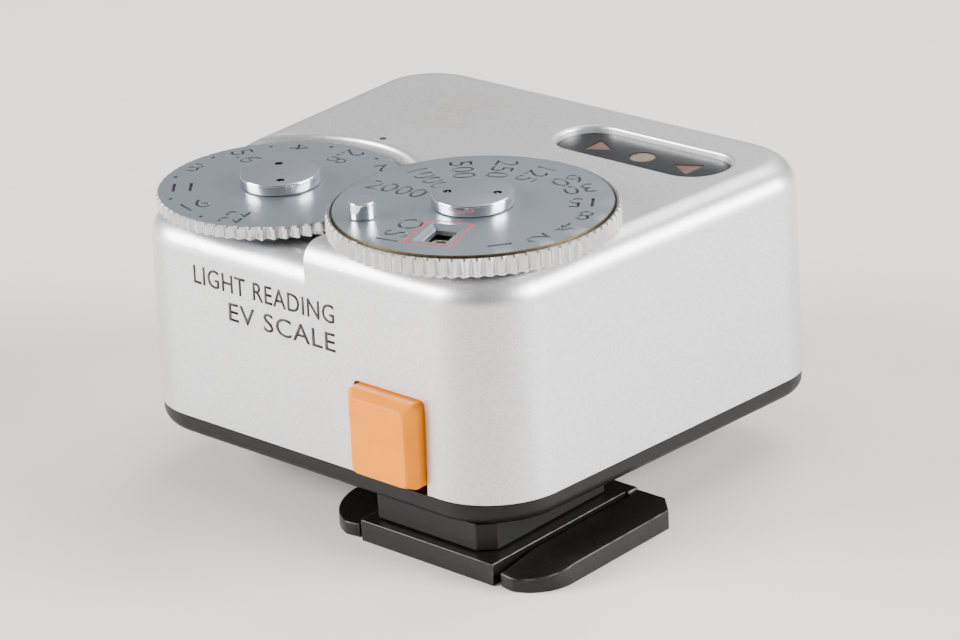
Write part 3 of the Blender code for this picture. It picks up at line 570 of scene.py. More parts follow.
def floor_paper():
    shade = Shade("floor_paper", (0.8, 0.765, 0.74), 0.6)
    cloud = shade.noise(30.0, 4.0, 0.55)
    tone = shade.ramp(cloud, (0.3, (0.78, 0.745, 0.72)), (0.7, (0.83, 0.795, 0.77)))
    scuffs = shade.ramp(shade.noise(5.0, 5.0, 0.7, stretch=(1, 0.35, 1)), (0.6, 0.0), (0.72, 1.0))
    tone = shade.mix(shade.math("MULTIPLY", scuffs, 0.18), tone, (0.6, 0.56, 0.5))
    shade.feed("Base Color", tone)
    return shade.material


SILVER = silver_paint()
INSIDE = cover_inside()
BLACK = black_plastic()
FOOT_BLACK = foot_black(False)
FOOT_EDGE_WEAR_AND_HIGHLIGHT = foot_black(True)
DIAL = dial_metal()
RIM = rim_metal()
CHROME = chrome()
SATIN = satin_chrome()
PAINT = paint_black()
RED = paint_red()
STEEL = plain_metal("bare_steel", (0.5, 0.5, 0.5), (0.64, 0.64, 0.64))
ZINC = plain_metal("screw_zinc", (0.42, 0.42, 0.43), (0.58, 0.58, 0.6), 0.32)
BRASS = plain_metal("bare_brass", (0.62, 0.44, 0.17), (0.76, 0.56, 0.25))
DARK_BRASS = plain_metal("dark_brass", (0.07, 0.055, 0.035), (0.16, 0.125, 0.07), 0.4)
INNER_BLACK = plain_plastic("inner_black", (0.016, 0.016, 0.016), (0.035, 0.035, 0.034))


# ---------------------------------------------------------------- lettering

# Cap height of Blender's own font at size 1, and how far its strokes are thinned for engraving.
CAP_SHARE = 0.682
STROKE_THIN = 0.0


def glyph_mesh(text, cap, at, angle, z, depth, spacing=1.0, align="LEFT", mesh=None, thin=STROKE_THIN):
    """Adds closed solids of the text, cap millimetres high, from z - depth to z + depth.

    at is where the first letter starts, on the text's middle line; the text runs along angle.
    """
    curve = bpy.data.curves.new("glyphs", "FONT")
    curve.body = text
    curve.size = cap / CAP_SHARE
    curve.fill_mode = "FRONT"
    curve.offset = -thin * curve.size
    curve.resolution_u = 3
    curve.space_character = spacing
    curve.align_x = align
    thing = bpy.data.objects.new("glyphs", curve)
    bpy.context.scene.collection.objects.link(thing)
    graph = bpy.context.evaluated_depsgraph_get()
    data = bpy.data.meshes.new_from_object(thing.evaluated_get(graph))
    flat = bmesh.new()
    flat.from_mesh(data)
    bmesh.ops.remove_doubles(flat, verts=flat.verts, dist=1e-4)
    bmesh.ops.dissolve_limit(flat, angle_limit=0.01, verts=flat.verts, edges=flat.edges)
    grown = bmesh.ops.extrude_face_region(flat, geom=flat.faces[:])
    top = [item for item in grown["geom"] if isinstance(item, bmesh.types.BMVert)]
    bmesh.ops.translate(flat, vec=(0, 0, 2 * depth), verts=top)
    flat.transform(
        Matrix.Translation((at[0], at[1], z - depth))
        @ Matrix.Rotation(math.radians(angle), 4, "Z")
        @ Matrix.Translation((0, -cap / 2, 0))
    )
    bmesh.ops.recalc_face_normals(flat, faces=flat.faces)
    flat.to_mesh(data)
    flat.free()
    mesh = mesh or bmesh.new()
    mesh.from_mesh(data)
    bpy.data.objects.remove(thing)
    bpy.data.curves.remove(curve)
    bpy.data.meshes.remove(data)
    return mesh


def radial_text(text, cap, radius, angle, z, depth, spacing, mesh):
    """Text that starts at radius and runs towards the dial's centre."""
    start = turn((radius, 0), angle)
    return glyph_mesh(text, cap, start, angle + 180, z, depth, spacing, mesh=mesh)


def paint_floor(thing, level, material_index, lower=0.002, test=None):
    """Gives the flat bottoms of an engraving at z = level, in the body frame, their own material."""
    for face in thing.data.polygons:
        if abs(face.center.z - level) < lower and face.normal.z > 0.9:
            if test is None or test(face.center):
                face.material_index = material_index


# ---------------------------------------------------------------- body

def step_outline():
    reach = math.degrees(math.acos((STEP_SIDE_X - APERTURE_AXIS[0]) / STEP_RADIUS))
    points = arc(APERTURE_AXIS, STEP_RADIUS, -reach, 180, 90)
    edge = 0.6
    points += [(-9.0, APERTURE_AXIS[1]), (-9.0, -3.0), (STEP_SIDE_X + edge, -3.0)]
    points += arc((STEP_SIDE_X + edge, edge), edge, 270, 180, 8)
    return points


def flared(outline, low, high, flare, steps=5):
    """A cutter with vertical walls whose upper rim opens out in a quarter round that ends at z = high."""
    rings = [[(x, y, low) for x, y in outline]]
    for i in range(steps + 1):
        a = math.pi / 2 * i / steps
        grown = offset(outline, flare * (1 - math.cos(a)))
        rings.append([(x, y, high - flare + flare * math.sin(a)) for x, y in grown])
    rings.append([(x, y, high + 1) for x, y in offset(outline, flare)])
    return loft(bmesh.new(), rings)


def wall_depth(point):
    """How far a point lies inside the cover's outline."""
    x = WIDTH / 2 - abs(point.x - WIDTH / 2) / spread(point.y)
    y = min(point.y, DEPTH - point.y)
    if x < CORNER and y < CORNER:
        return CORNER - math.hypot(CORNER - x, CORNER - y)
    return min(x, y)


def step_edge():
    """A cutter that rounds the sunk step's outer edges like the top's."""
    outline = offset(step_outline(), -0.01)
    block = to_object("step_edge", prism(outline, STEP_FLOOR - TOP_FILLET, STEP_FLOOR + 0.3))
    rings = [[(x, y, -1) for x, y in body_outline(-0.006)]]
    steps = 12
    for i in range(steps + 1):
        a = math.pi / 2 * i / steps
        inset = DRAFT * 0.9 + TOP_FILLET * (1 - math.cos(a))
        z = STEP_FLOOR - TOP_FILLET * (1 - math.sin(a))
        rings.append([(x, y, z) for x, y in body_outline(inset)])
    rings.append([(x, y, STEP_FLOOR + 1) for x, y in body_outline(inset)])
    carve(block, loft(bmesh.new(), rings))
    mesh = bmesh.new()
    mesh.from_mesh(block.data)
    bpy.data.objects.remove(block)
    return mesh


def top_cover():
    rings = [[(x, y, 0) for x, y in body_outline(0.06)], [(x, y, 0.06) for x, y in body_outline(0)]]
    steps = 12
    for i in range(steps + 1):
        a = math.pi / 2 * i / steps
        inset = DRAFT + TOP_FILLET * (1 - math.cos(a))
        z = HEIGHT - TOP_FILLET * (1 - math.sin(a))
        rings.append([(x, y, z) for x, y in body_outline(inset)])
    cover = to_object("cover_shell", loft(bmesh.new(), rings))
    carve(cover, prism(body_outline(WALL), -1, CEILING))
    carve(cover, step_edge())
    carve(cover, flared(step_outline(), STEP_FLOOR, HEIGHT, 0.36))
    rim = 0.08
    window = []
    for axis in (0, 1):
        low, high = span("window_pane", axis)
        window.append((low - rim, high + rim))
    outline = rounded_box(*window, 2.39, 20)
    carve(cover, flared(outline, CEILING - 1, HEIGHT, 0.22))
    for axis in (APERTURE_AXIS, SPEED_AXIS):
        carve(cover, rod(2.33, CEILING - 1, HEIGHT + 1, 48, centre=axis))
    half = 2.98
    opening = rounded_box((BUTTON_MIDDLE - half, BUTTON_MIDDLE + half), (-3.0, 6.35), 0.35, 6)
    carve(cover, loft(bmesh.new(), [[(x, y, z) for x, z in opening] for y in (-2, WALL + 1)]))
    carve(cover, rod_y(3.6, LENS_CENTRE, (DEPTH - WALL - 1, DEPTH + 1), 72))
    cover.data.materials.append(SILVER)
    cover.data.materials.append(INSIDE)
    for face in cover.data.polygons:
        if wall_depth(face.center) > WALL * 0.6 and face.center.z < CEILING + 0.1:
            face.material_index = 1
    return place(cover, "housing", ["top_cover"], "cover_paint")


def rear_lettering():
    """Two lines of plain words set into the rear face's paint."""
    cap = 1.22
    mesh = bmesh.new()
    for text, left, right, height in (("LIGHT READING", 6.6, 19.1, 10.3), ("EV SCALE", 9.6, 19.1, 8.4)):
        line = glyph_mesh(text, cap, (0, height), 0, 0, 0.02, 1.06, thin=-0.004)
        reach = max(vert.co.x for vert in line.verts)
        for vert in line.verts:
            vert.co.x = left + vert.co.x * (right - left) / reach
        data = bpy.data.meshes.new("line")
        line.to_mesh(data)
        line.free()
        mesh.from_mesh(data)
        bpy.data.meshes.remove(data)
    upright = Matrix.Rotation(math.radians(90), 4, "X")
    bmesh.ops.transform(mesh, matrix=upright, verts=mesh.verts)
    for vert in mesh.verts:
        slope = DRAFT * vert.co.z / (HEIGHT - TOP_FILLET)
        vert.co.y += slope - 0.004
    letters = to_object("rear_lettering", mesh)
    letters.data.materials.append(PAINT)
    to_metres(letters)
    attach(letters, "housing")


def base_plate():
    low = span("base_plate", 2)[0]
    rings = []
    steps = 8
    rounding = 0.8
    for i in range(steps + 1):
        a = math.pi / 2 * i / steps
        inset = 0.12 + rounding * (1 - math.sin(a))
        rings.append([(x, y, low + rounding * (1 - math.cos(a))) for x, y in body_outline(inset)])
    rings.append([(x, y, -0.08) for x, y in body_outline(0.12)])
    base = to_object("base_moulding", loft(bmesh.new(), rings))
    carve(base, prism(body_outline(WALL + 0.15), -0.5, 1.0), operation="UNION")
    carve(base, prism(body_outline(WALL + 0.95), -0.08, 2.0))
    carve(base, box((BUTTON_MIDDLE - 4.18, BUTTON_MIDDLE + 4.18), (0.5, 4), (-0.08, 2)))
    carve(base, rod(7.0, -3, 3, 96, centre=BATTERY_AXIS))
    for i in (1, 2, 3):
        at = middle(f"base_screw_{i}").xy
        profile = [(0, -3), (1.45, -3), (1.45, low + 0.15), (0.72, -0.6), (0.72, 3), (0, 3)]
        carve(base, turned(profile, 40, centre=at))
    return place(base, "housing", ["base_plate"], "base_plastic", BLACK)


def shoe_neck():
    x, y = span("shoe_neck", 0), span("shoe_neck", 1)
    z = span("shoe_neck", 2)
    c = 0.92
    outline = [(x[0] + c, y[0]), (x[1] - c, y[0]), (x[1], y[0] + c), (x[1], y[1] - c),
               (x[1] - c, y[1]), (x[0] + c, y[1]), (x[0], y[1] - c), (x[0], y[0] + c)]
    neck = to_object("neck_block", prism(outline, *z))
    soften(neck, 0.08)
    return place(neck, "housing", ["shoe_neck"], "base_plastic", BLACK)


def shoe_foot():
    x, y, z = (span("shoe_foot", axis) for axis in range(3))
    cx = FOOT_CENTRE[0]
    half, core, slit = (x[1] - x[0]) / 2, 5.525, 0.42
    rear, front = y
    slit_end = rear + 13.0
    round_radius = 3.2
    right = [(core, rear), (core, slit_end), (core + slit, slit_end), (core + slit, rear + 0.25)]
    right += arc((half - round_radius, rear + round_radius), round_radius, 285, 360, 20)
    right += [(half, front - 1.3), (half - 1.3, front)]
    left = [(-px, py) for px, py in reversed(right)]
    outline = [(px + cx, py) for px, py in right + left]
    foot = to_object("foot_plate", prism(outline, *z))
    ramps = bmesh.new()
    top = z[1]
    for side in (-1, 1):
        edges = sorted((cx + side * (core + slit / 2), cx + side * (half + 1)))
        profile = [(rear - 1, top - 0.55), (rear + 0.6, top - 0.55), (rear + 3.4, top - 0.15),
                   (front + 1, top - 0.15), (front + 1, top + 1), (rear - 1, top + 1)]
        loft(ramps, [[(px, py, pz) for py, pz in profile] for px in edges])
    carve(foot, ramps)
    for i in (1, 2):
        at = middle(f"foot_screw_{i}").xy
        profile = [(0, -7), (1.4, -7), (1.4, z[0] + 0.2), (0.72, z[0] + 0.88), (0.72, 0), (0, 0)]
        carve(foot, turned(profile, 40, centre=at))
    foot.data.materials.append(FOOT_BLACK)
    foot.data.materials.append(FOOT_EDGE_WEAR_AND_HIGHLIGHT)
    # the bevels take the lighter edge material: rubbed wear and painted edge highlight
    soften(foot, 0.11, 3, 30, material=1)
    return place(foot, "housing", ["shoe_foot"], "foot_black")


def screws():
    """Turned heads with cross recesses, at every screw of the frame."""
    for name in ("base_screw_1", "base_screw_2", "base_screw_3", "foot_screw_1", "foot_screw_2",
                 "board_screw_1", "board_screw_2"):
        at = middle(name).xy
        low, high = span(name, 2)
        head = (span(name, 0)[1] - span(name, 0)[0]) / 2
        if name.startswith("board"):
            shape = [(0, low), (head - 0.15, low), (head, low + 0.2), (head, low + 0.7), (0.6, low + 0.7)]
        else:
            shape = [(0, low), (head - 0.08, low), (head, low + 0.06), (head, low + 0.12), (0.6, low + 0.75)]
        shape += [(0.6, high - 0.3), (0.4, high), (0, high)]
        screw = to_object(f"{name}_turned", turned(shape, 48, centre=at))
        corners = [(0.5, 0.12), (0.12, 0.12), (0.12, 0.5)]
        cross = []
        for quarter in range(4):
            cross += [turn(corner, 90 * quarter) for corner in corners]
        outline = [(px + at[0], py + at[1]) for px, py in cross]
        carve(screw, prism(outline, low - 1, low + 0.34))
        place(screw, "housing", [name], "screw_zinc", ZINC)


# ---------------------------------------------------------------- dials

def knurled(radius, teeth, depth, low, top, chamfer):
    """A toothed disc whose teeth have narrow flat tips, V grooves between them and chamfered ends."""
    pitch = 360 / teeth
    shape = ((-0.09, 0.0), (0.09, 0.0), (0.45, 1.0), (0.55, 1.0))
    rings = []
    for z, share, inset in ((low, 1.0, chamfer * 0.5), (low + chamfer * 0.5, 1.0, 0), (top - chamfer, 1.0, 0),
                            (top, 0.12, chamfer)):
        points = []
        for tooth in range(teeth):
            for where, deep in shape:
                a = math.radians((tooth + where) * pitch)
                r = radius - inset - deep * depth * share
                points.append((r * math.cos(a), r * math.sin(a), z))
        rings.append(points)
    return loft(bmesh.new(), rings)


# Aperture numbers with their places on the dial, one stop apart, and dots at the half stops.
APERTURES = ["2.8", "4", "5.6", "8", "11", "16", "22", "", "", "1", "1.4", "2"]
STOP_ANGLE = 32.73
ENGRAVED = 0.09
STUD_BORE = 1.02
APERTURE_RADIUS = 8.11
APERTURE_TEETH = 66
TOOTH_DEPTH = 0.24
RIM_CHAMFER = 0.13


def aperture_dial():
    low, top = span("aperture_dial", 2)
    at = (*APERTURE_AXIS, 0)
    rim = knurled(APERTURE_RADIUS, APERTURE_TEETH, TOOTH_DEPTH, low, top, RIM_CHAMFER)
    dial = to_object("aperture_knob_face", rim, at)
    carve(dial, rod(STUD_BORE, low - 1, top + 1, 48), at)
    carve(dial, ring(5.85, 6.95, low - 1, low + 0.25), at)
    text = bmesh.new()
    for stop in range(-3, 7):
        label = APERTURES[stop]
        angle = 90.0 + stop * STOP_ANGLE
        radial_text(label, 1.5, 7.5, angle, top, ENGRAVED, 1.0, text)
        if stop < 6:
            rod(0.16, top - ENGRAVED, top + ENGRAVED, 16, text, turn((7.3, 0), angle + STOP_ANGLE / 2))
    carve(dial, text, at)
    dial.data.materials.append(DIAL)
    dial.data.materials.append(PAINT)
    dial.data.materials.append(RIM)
    finish_dial(dial, APERTURE_AXIS, APERTURE_RADIUS - 0.18, top)
    return place(dial, "aperture_knob", ["aperture_dial"], "dial_face", angle=25)


def finish_dial(dial, axis, face_radius, top):
    """Paint in the engraving, bright metal on the rim."""
    centre = Vector((axis[0], axis[1]))
    for face in dial.data.polygons:
        c = face.center
        r = (c.xy - centre).length
        if r > face_radius - 0.02 or (abs(face.normal.z) < 0.5 and r > face_radius - 0.4):
            face.material_index = 2
        elif abs(c.z - (top - ENGRAVED)) < 0.003 and face.normal.z > 0.9:
            face.material_index = 1


RING_RADIUS = 9.245
RING_TEETH = 76
RING_WEB = 15.25
DISC_RADIUS = 8.86


def speed_ring():
    low, top = span("speed_ring", 2)
    at = (*SPEED_AXIS, 0)
    knob = to_object("speed_knurl", knurled(RING_RADIUS, RING_TEETH, TOOTH_DEPTH, low, top, RIM_CHAMFER), at)
    carve(knob, rod(DISC_RADIUS + 0.11, RING_WEB, top + 1, 192), at)
    carve(knob, rod(STUD_BORE, low - 1, top + 1, 48), at)
    carve(knob, ring(5.85, 6.95, low - 1, low + 0.22), at)
    return place(knob, "speed_knob", ["speed_ring"], "dial_rim", RIM, angle=25)


# Shutter numbers with their angles on the speed disc, in degrees anticlockwise from the right.
SPEEDS = {"1": -36.3, "2": -17.4, "4": 0.2, "8": 18.1, "15": 35.8, "30": 56.2, "60": 71.3, "125": 92,
          "250": 114.3, "500": 137.3, "1000": 160, "2000": 187}
WINDOW_RADIUS = 5.3
WINDOW_ANGLE = -72.0
WINDOW_HALF = (1.53, 1.085)
FRAME_HALF = (2.06, 1.59)
FRAME_LINE = 0.17


def window_ring(radial, tangential, z):
    """The four corners of a rectangle about the film-speed window's middle."""
    corners = []
    for a, b in ((-1, -1), (1, -1), (1, 1), (-1, 1)):
        corners.append((*turn((WINDOW_RADIUS + a * radial, b * tangential), WINDOW_ANGLE), z))
    return corners


def speed_disc():
    low, top = span("speed_disc", 2)
    at = (*SPEED_AXIS, 0)
    profile = [(1.04, low), (DISC_RADIUS - 0.04, low), (DISC_RADIUS, low + 0.04)]
    profile += corner_round(DISC_RADIUS, top, 0.06, 3) + [(1.04, top)]
    disc = to_object("speed_face", turned(profile, 192), at)
    rings = []
    slopes = ((low - 0.5, 0.36), (top - 0.32, 0.36), (top - 0.26, 0.24), (top - 0.02, 0.03), (top, 0.0),
              (top + 0.5, 0.0))
    for z, shrink in slopes:
        rings.append(window_ring(WINDOW_HALF[0] - shrink, WINDOW_HALF[1] - shrink, z))
    carve(disc, loft(bmesh.new(), rings), at)
    post = middle("film_post").xy - SPEED_AXIS
    carve(disc, rod(0.52, low - 1, top + 1, 32, centre=post), at)
    text = bmesh.new()
    for label, angle in SPEEDS.items():
        radial_text(label, 1.5, 8.0, angle, top, ENGRAVED, 1.0, text)
    glyph_mesh("ISO", 1.57, (-0.21, -7.92), 102.3, top, ENGRAVED, 1.25, mesh=text)
    carve(disc, text, at)
    outer, inner = FRAME_HALF, (FRAME_HALF[0] - FRAME_LINE, FRAME_HALF[1] - FRAME_LINE)
    line = loft(bmesh.new(), [window_ring(*outer, top - 0.03), window_ring(*outer, top + 0.5)])
    groove = to_object("groove", line, at)
    carve(groove, loft(bmesh.new(), [window_ring(*inner, top - 1), window_ring(*inner, top + 1)]), at)
    step = disc.modifiers.new("carve", "BOOLEAN")
    step.operation = "DIFFERENCE"
    step.object = groove
    apply_all(disc)
    bpy.data.objects.remove(groove)
    for shade in (DIAL, PAINT, DARK_BRASS, RED):
        disc.data.materials.append(shade)
    centre = Vector(SPEED_AXIS)
    for face in disc.data.polygons:
        c = face.center
        r = (c.xy - centre).length
        if r > DISC_RADIUS - 0.07:
            face.material_index = 2
        elif abs(c.z - (top - ENGRAVED)) < 0.003 and face.normal.z > 0.9:
            face.material_index = 1
        elif abs(c.z - (top - 0.03)) < 0.003 and face.normal.z > 0.9:
            face.material_index = 3
    return place(disc, "film_disc", ["speed_disc"], "dial_face", angle=25)


FILM_SPEEDS = ["25", "50", "100", "200", "400", "800", "1600", "3200"]
FILM_STEP = 20.3
FILM_SHOWN = 3


def film_scale():
    low, top = span("film_scale", 2)
    at = (*SPEED_AXIS, 0)
    plate = to_object("film_plate", ring(1.1, 8.2, low, top, 128), at)
    text = bmesh.new()
    for i, label in enumerate(FILM_SPEEDS):
        angle = WINDOW_ANGLE + (i - FILM_SHOWN) * FILM_STEP
        length = 0.62 * len(label)
        start = turn((WINDOW_RADIUS + length, 0), angle)
        glyph_mesh(label, 1.25, start, angle + 180, top, 0.02, 1.0, mesh=text)
    carve(plate, text, at)
    plate.data.materials.append(DARK_BRASS)
    plate.data.materials.append(plain_plastic("scale_cream", (0.6, 0.56, 0.46), (0.72, 0.68, 0.56)))
    paint_floor(plate, top - 0.02, 1)
    return place(plate, "speed_knob", ["film_scale"], "film_scale")


HUB_RADIUS = 2.6
SPANNER_OFFSET = 1.59
POST_RADIUS = 0.85


def hub_cap(node, body, axis, angle):
    low, top = span(node, 2)
    at = (*axis, 0)
    bore = STUD_BORE
    profile = [(0, top - 0.26), (bore, top - 0.26), (bore, low), (HUB_RADIUS - 0.1, low),
               (HUB_RADIUS - 0.02, low + 0.05), (HUB_RADIUS, low + 0.12), (HUB_RADIUS, top - 0.16)]
    profile += corner_round(HUB_RADIUS, top, 0.12) + [(0, top)]
    cap = to_object(f"{node}_turned", turned(profile, 128), at)
    holes = bmesh.new()
    for half_turn in (0, 180):
        spot = turn((SPANNER_OFFSET, 0), angle + half_turn)
        shape = [(0, top - 0.55), (0.27, top - 0.5), (0.28, top), (0.28, top + 1), (0, top + 1)]
        turned(shape, 32, holes, spot)
    carve(cap, holes, at)
    cap.data.materials.append(CHROME)
    cap.data.materials.append(SATIN)
    for face in cap.data.polygons:
        c = face.center
        if face.normal.z > 0.97 and c.z > top - 0.02:
            face.material_index = 1
    return place(cap, body, [node], "hub_chrome", angle=30)


def film_post():
    low, top = span("film_post", 2)
    at = (*middle("film_post").xy, 0)
    disc_top = span("speed_disc", 2)[1]
    profile = [(0, low), (0.48, low), (0.48, disc_top + 0.03), (POST_RADIUS - 0.07, disc_top + 0.03),
               (POST_RADIUS, disc_top + 0.08), (POST_RADIUS, top - 0.2)]
    profile += corner_round(POST_RADIUS, top, 0.09) + [(0.3, top - 0.01), (0, top - 0.015)]
    post = to_object("film_post_turned", turned(profile, 96), at)
    return place(post, "film_disc", ["film_post"], "hub_chrome", CHROME)


# ---------------------------------------------------------------- button

def measure_button():
    """A square cap with broad chamfers, its hidden flange and its stem."""
    at = (BUTTON_MIDDLE, 0, 0)
    half = 2.84
    low, high = 0.5, 6.21
    front = span("measure_button", 1)[0]
    rings = ((WALL + 0.5, 0.0), (front + 0.64, 0.0), (front + 0.58, 0.02), (front + 0.1, 0.48),
             (front + 0.04, 0.54), (front + 0.01, 0.6), (front, 0.66))
    body = bmesh.new()
    levels = []
    for y, inset in rings:
        upright = (low + inset * 0.3, high - inset * 0.75)
        outline = rounded_box((-half + inset, half - inset), upright, 0.42, 8)
        levels.append([(x, y, z) for x, z in outline])
    loft(body, levels)
    cap = to_object("button_cap", body, at)
    flange = rounded_box((-half - 0.75, half + 0.75), (0.3, high + 0.75), 0.3, 4)
    back = [[(x, y, z) for x, z in flange] for y in (WALL + 0.15, WALL + 0.95)]
    carve(cap, loft(bmesh.new(), back), at, "UNION")
    carve(cap, rod_y(0.9, (0, 3.75), (WALL + 0.6, 3.6), 40), at, "UNION")
    return place(cap, "button", ["measure_button"], "button_orange", orange_plastic(), angle=40)


# ---------------------------------------------------------------- indicator window

LAMP_NODES = ("lamp_left", "lamp_centre", "lamp_right")


def mark_outline(index, grow=0.0):
    centre = middle(LAMP_NODES[index]).xy
    if index == 1:
        return circle(centre, 0.85 + grow, 48)
    facing = 0 if index == 0 else 180
    points = []
    for corner in (0, 120, 240):
        tip = turn((1.12 - 0.12 + grow * 2, 0), facing + corner)
        for swing in (-60, -30, 0, 30, 60):
            knuckle = turn((0.06, 0), facing + corner + swing)
            points.append((centre[0] + tip[0] + knuckle[0], centre[1] + tip[1] + knuckle[1]))
    return points


def indicator_window():
    x, y, z = (span("window_pane", axis) for axis in range(3))
    pane = to_object("window_plate", prism(rounded_box(x, y, 2.3, 20), *z))
    for index in range(3):
        carve(pane, prism(mark_outline(index, 0.03), z[0] - 1, z[1] + 1))
    place(pane, "housing", ["window_pane"], "window_pane", pane_plastic())
    gx, gy, gz = (span("light_guide", axis) for axis in range(3))
    guide = to_object("light_guide_bar", prism(rounded_box(gx, gy, 1.9, 12), gz[0], 13.0))
    for index in range(3):
        carve(guide, prism(mark_outline(index), 12.6, gz[1]), operation="UNION")
    tones = (
        mark_resin("mark_left", (0.08, 0.04, 0.033), (0.14, 0.07, 0.056)),
        mark_resin("mark_centre", (0.13, 0.095, 0.07), (0.2, 0.15, 0.11)),
        mark_resin("mark_right", (0.08, 0.037, 0.03), (0.14, 0.066, 0.052)),
    )
    for tone in tones:
        guide.data.materials.append(tone)
    for face in guide.data.polygons:
        c = face.center
        distances = [abs(c.x - middle(node).x) for node in LAMP_NODES]
        face.material_index = distances.index(min(distances))
    place(guide, "housing", ["light_guide"], "light_guide")


# ---------------------------------------------------------------- light sensor

def sensor():
    front = DEPTH
    hole = 3.6
    lens_radius = 2.8
    bezel = [(lens_radius + 0.1, front - 1.9), (hole - 0.1, front - 1.9), (hole - 0.1, front + 0.05),
             (hole + 0.5, front + 0.05)]
    for i in range(7):
        a = math.pi / 2 * i / 6
        bezel.append((hole + 0.35 + 0.15 * math.cos(a), front + 0.18 + 0.17 * math.sin(a)))
    bezel += [(lens_radius + 0.55, front + 0.35), (lens_radius + 0.3, front + 0.25),
              (lens_radius + 0.1, front + 0.05)]
    bezel_ring = to_object("lens_bezel_turned", turned_y(bezel, LENS_CENTRE))
    place(bezel_ring, "housing", ["lens_bezel"], "inner_plastic", INNER_BLACK)
    lens = [(0, front - 1.0), (lens_radius, front - 1.0), (lens_radius, front - 0.5)]
    for i in range(1, 12):
        a = math.pi / 2 * i / 12
        lens.append((lens_radius * math.cos(a), front - 0.5 + 0.65 * math.sin(a)))
    lens.append((0, front + 0.15))
    dome = to_object("sensor_lens_dome", turned_y(lens, LENS_CENTRE))
    place(dome, "housing", ["sensor_lens"], "lens", frosted_lens())


# ---------------------------------------------------------------- battery cover

def battery_cover():
    low, high = span("battery_cover", 2)
    at = (*BATTERY_AXIS, 0)
    profile = [(0, low), (6.4, low), (6.62, low + 0.02), (6.82, low + 0.1), (6.9, low + 0.28), (6.9, high),
               (0, high)]
    cover = to_object("battery_cover_turned", turned(profile, 128), at)
    slot = rounded_box((-4.6, 4.6), (-0.65, 0.65), 0.64, 10)
    carve(cover, prism(slot, low - 1, low + 0.6), at)
    carve(cover, ring(5.7, 5.85, low - 1, low + 0.08, 128), at)
    return place(cover, "battery_door", ["battery_cover"], "base_plastic", BLACK)


# ---------------------------------------------------------------- carried-over pieces

def carried_over():
    """Materials for the CAD nodes that stay as they are."""
    board = plain_plastic("board_laminate", (0.012, 0.11, 0.04), (0.03, 0.2, 0.075), 0.35)
    lamp = plain_plastic("lamp_resin", (0.55, 0.1, 0.07), (0.75, 0.2, 0.14), 0.2)
    cell = plain_metal("cell_nickel", (0.62, 0.61, 0.58), (0.78, 0.77, 0.73), 0.22)
    rubber = plain_plastic("gasket_rubber", (0.015, 0.015, 0.015), (0.03, 0.03, 0.03), 0.7)
    groups = {
        board: ["circuit_board"],
        lamp: ["lamp_left", "lamp_centre", "lamp_right"],
        cell: ["cell_lower", "cell_upper"],
        rubber: ["cover_gasket"],
        BRASS: ["upper_contact", "lower_contact", "aperture_bush", "speed_bush"],
        STEEL: ["aperture_click_ball", "aperture_click_spring", "speed_click_ball", "speed_click_spring",
                "bezel_ring", "aperture_washer", "speed_washer", "aperture_shaft", "speed_shaft",
                "aperture_clip", "speed_clip", "disc_spring"],
        INNER_BLACK: ["switch_body", "switch_plunger", "meter_chip", "lamp_housing", "light_sensor",
                      "battery_holder", "aperture_pot_body", "speed_pot_body", "aperture_pot_track",
                      "speed_pot_track", "aperture_wiper", "speed_wiper"],
    }
    for shade, names in groups.items():
        for name in names:
            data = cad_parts[name].data
            data.materials.clear()
            data.materials.append(shade)


# ---------------------------------------------------------------- stage

def index_dots():
    """A small engraved dot on the cover beside each dial."""
    spots = ((7.84, 17.37), (23.88, 18.7))
    mesh = bmesh.new()
    for spot in spots:
        rod(0.25, HEIGHT - 0.05, HEIGHT + 0.006, 24, mesh, spot)
    dots = to_object("index_dots", mesh)
    dots.data.materials.append(PAINT)
    to_metres(dots)
    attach(dots, "housing")


def floor():
    size = 1.5
    mesh = bpy.data.meshes.new("floor")
    corners = [(-size, -size, 0), (size, -size, 0), (size, size, 0), (-size, size, 0)]
    mesh.from_pydata(corners, [], [(0, 1, 2, 3)])
    mesh.materials.append(floor_paper())
    thing = bpy.data.objects.new("floor", mesh)
    bpy.context.scene.collection.objects.link(thing)


def soft_light(name, place_m, target, size, power, colour=(1, 1, 1)):
    data = bpy.data.lights.new(name, "AREA")
    data.shape = "RECTANGLE"
    data.size, data.size_y = size
    data.energy = power
    data.color = colour
    thing = bpy.data.objects.new(name, data)
    thing.location = place_m
    thing.rotation_euler = (Vector(target) - Vector(place_m)).to_track_quat("-Z", "Y").to_euler()
    bpy.context.scene.collection.objects.link(thing)


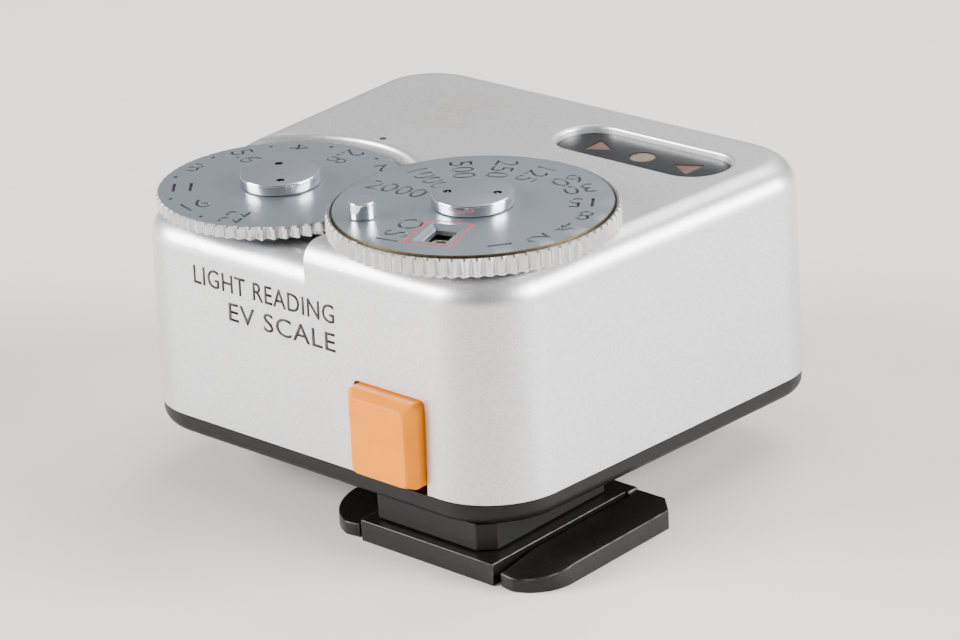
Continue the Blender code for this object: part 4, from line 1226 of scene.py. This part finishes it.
def lights():
    target = (-0.009, 0.008, 0.012)
    soft_light("key_left", (-0.42, -0.42, 0.26), target, (0.4, 0.3), 10.5, (1, 0.985, 0.96))
    soft_light("key_right", (0.5, 0.28, 0.24), target, (0.4, 0.3), 10.5, (1, 0.99, 0.98))
    soft_light("top_back", (-0.1, 0.5, 0.6), target, (0.5, 0.3), 3.5)
    bpy.context.scene.world = studio()


def studio():
    """Soft light from all round, dimmer from one side so that the rear right corner is shaded."""
    world = bpy.data.worlds.new("studio")
    world.use_nodes = True
    nodes, links = world.node_tree.nodes, world.node_tree.links
    background = nodes["Background"]
    background.inputs["Color"].default_value = (0.96, 0.965, 1.0, 1.0)
    direction = nodes.new("ShaderNodeTexCoord")
    towards = nodes.new("ShaderNodeVectorMath")
    towards.operation = "DOT_PRODUCT"
    towards.inputs[1].default_value = (0.67, -0.74, 0.0)
    dimmed = nodes.new("ShaderNodeMapRange")
    dimmed.inputs["From Min"].default_value = 0.5
    dimmed.inputs["From Max"].default_value = 0.95
    dimmed.inputs["To Min"].default_value = 0.46
    dimmed.inputs["To Max"].default_value = 0.02
    links.new(direction.outputs["Generated"], towards.inputs[0])
    links.new(towards.outputs["Value"], dimmed.inputs["Value"])
    links.new(dimmed.outputs["Result"], background.inputs["Strength"])
    return world


def camera():
    data = bpy.data.cameras.new("camera")
    data.sensor_width = 36.0
    data.lens = 135.275
    data.clip_start = 0.005
    forward = Vector((-0.621672, 0.684846, -0.380145)).normalized()
    up = Vector((-0.218065, 0.314814, 0.923764))
    right = forward.cross(up).normalized()
    up = right.cross(forward)
    rotation = Matrix((right, up, -forward)).transposed().to_4x4()
    thing = bpy.data.objects.new("camera", data)
    thing.matrix_world = Matrix.Translation((0.139523, -0.154597, 0.09971)) @ rotation
    bpy.context.scene.collection.objects.link(thing)
    bpy.context.scene.camera = thing


camera()
top_cover()
rear_lettering()
index_dots()
base_plate()
shoe_neck()
shoe_foot()
screws()
aperture_dial()
speed_ring()
speed_disc()
film_scale()
hub_cap("aperture_hub_cap", "aperture_knob", APERTURE_AXIS, 135.9)
hub_cap("speed_hub_cap", "speed_knob", SPEED_AXIS, 30.8)
film_post()
measure_button()
indicator_window()
sensor()
battery_cover()
carried_over()
floor()
lights()


def corners(bounds):
    return [list(corner) for corner in bounds]
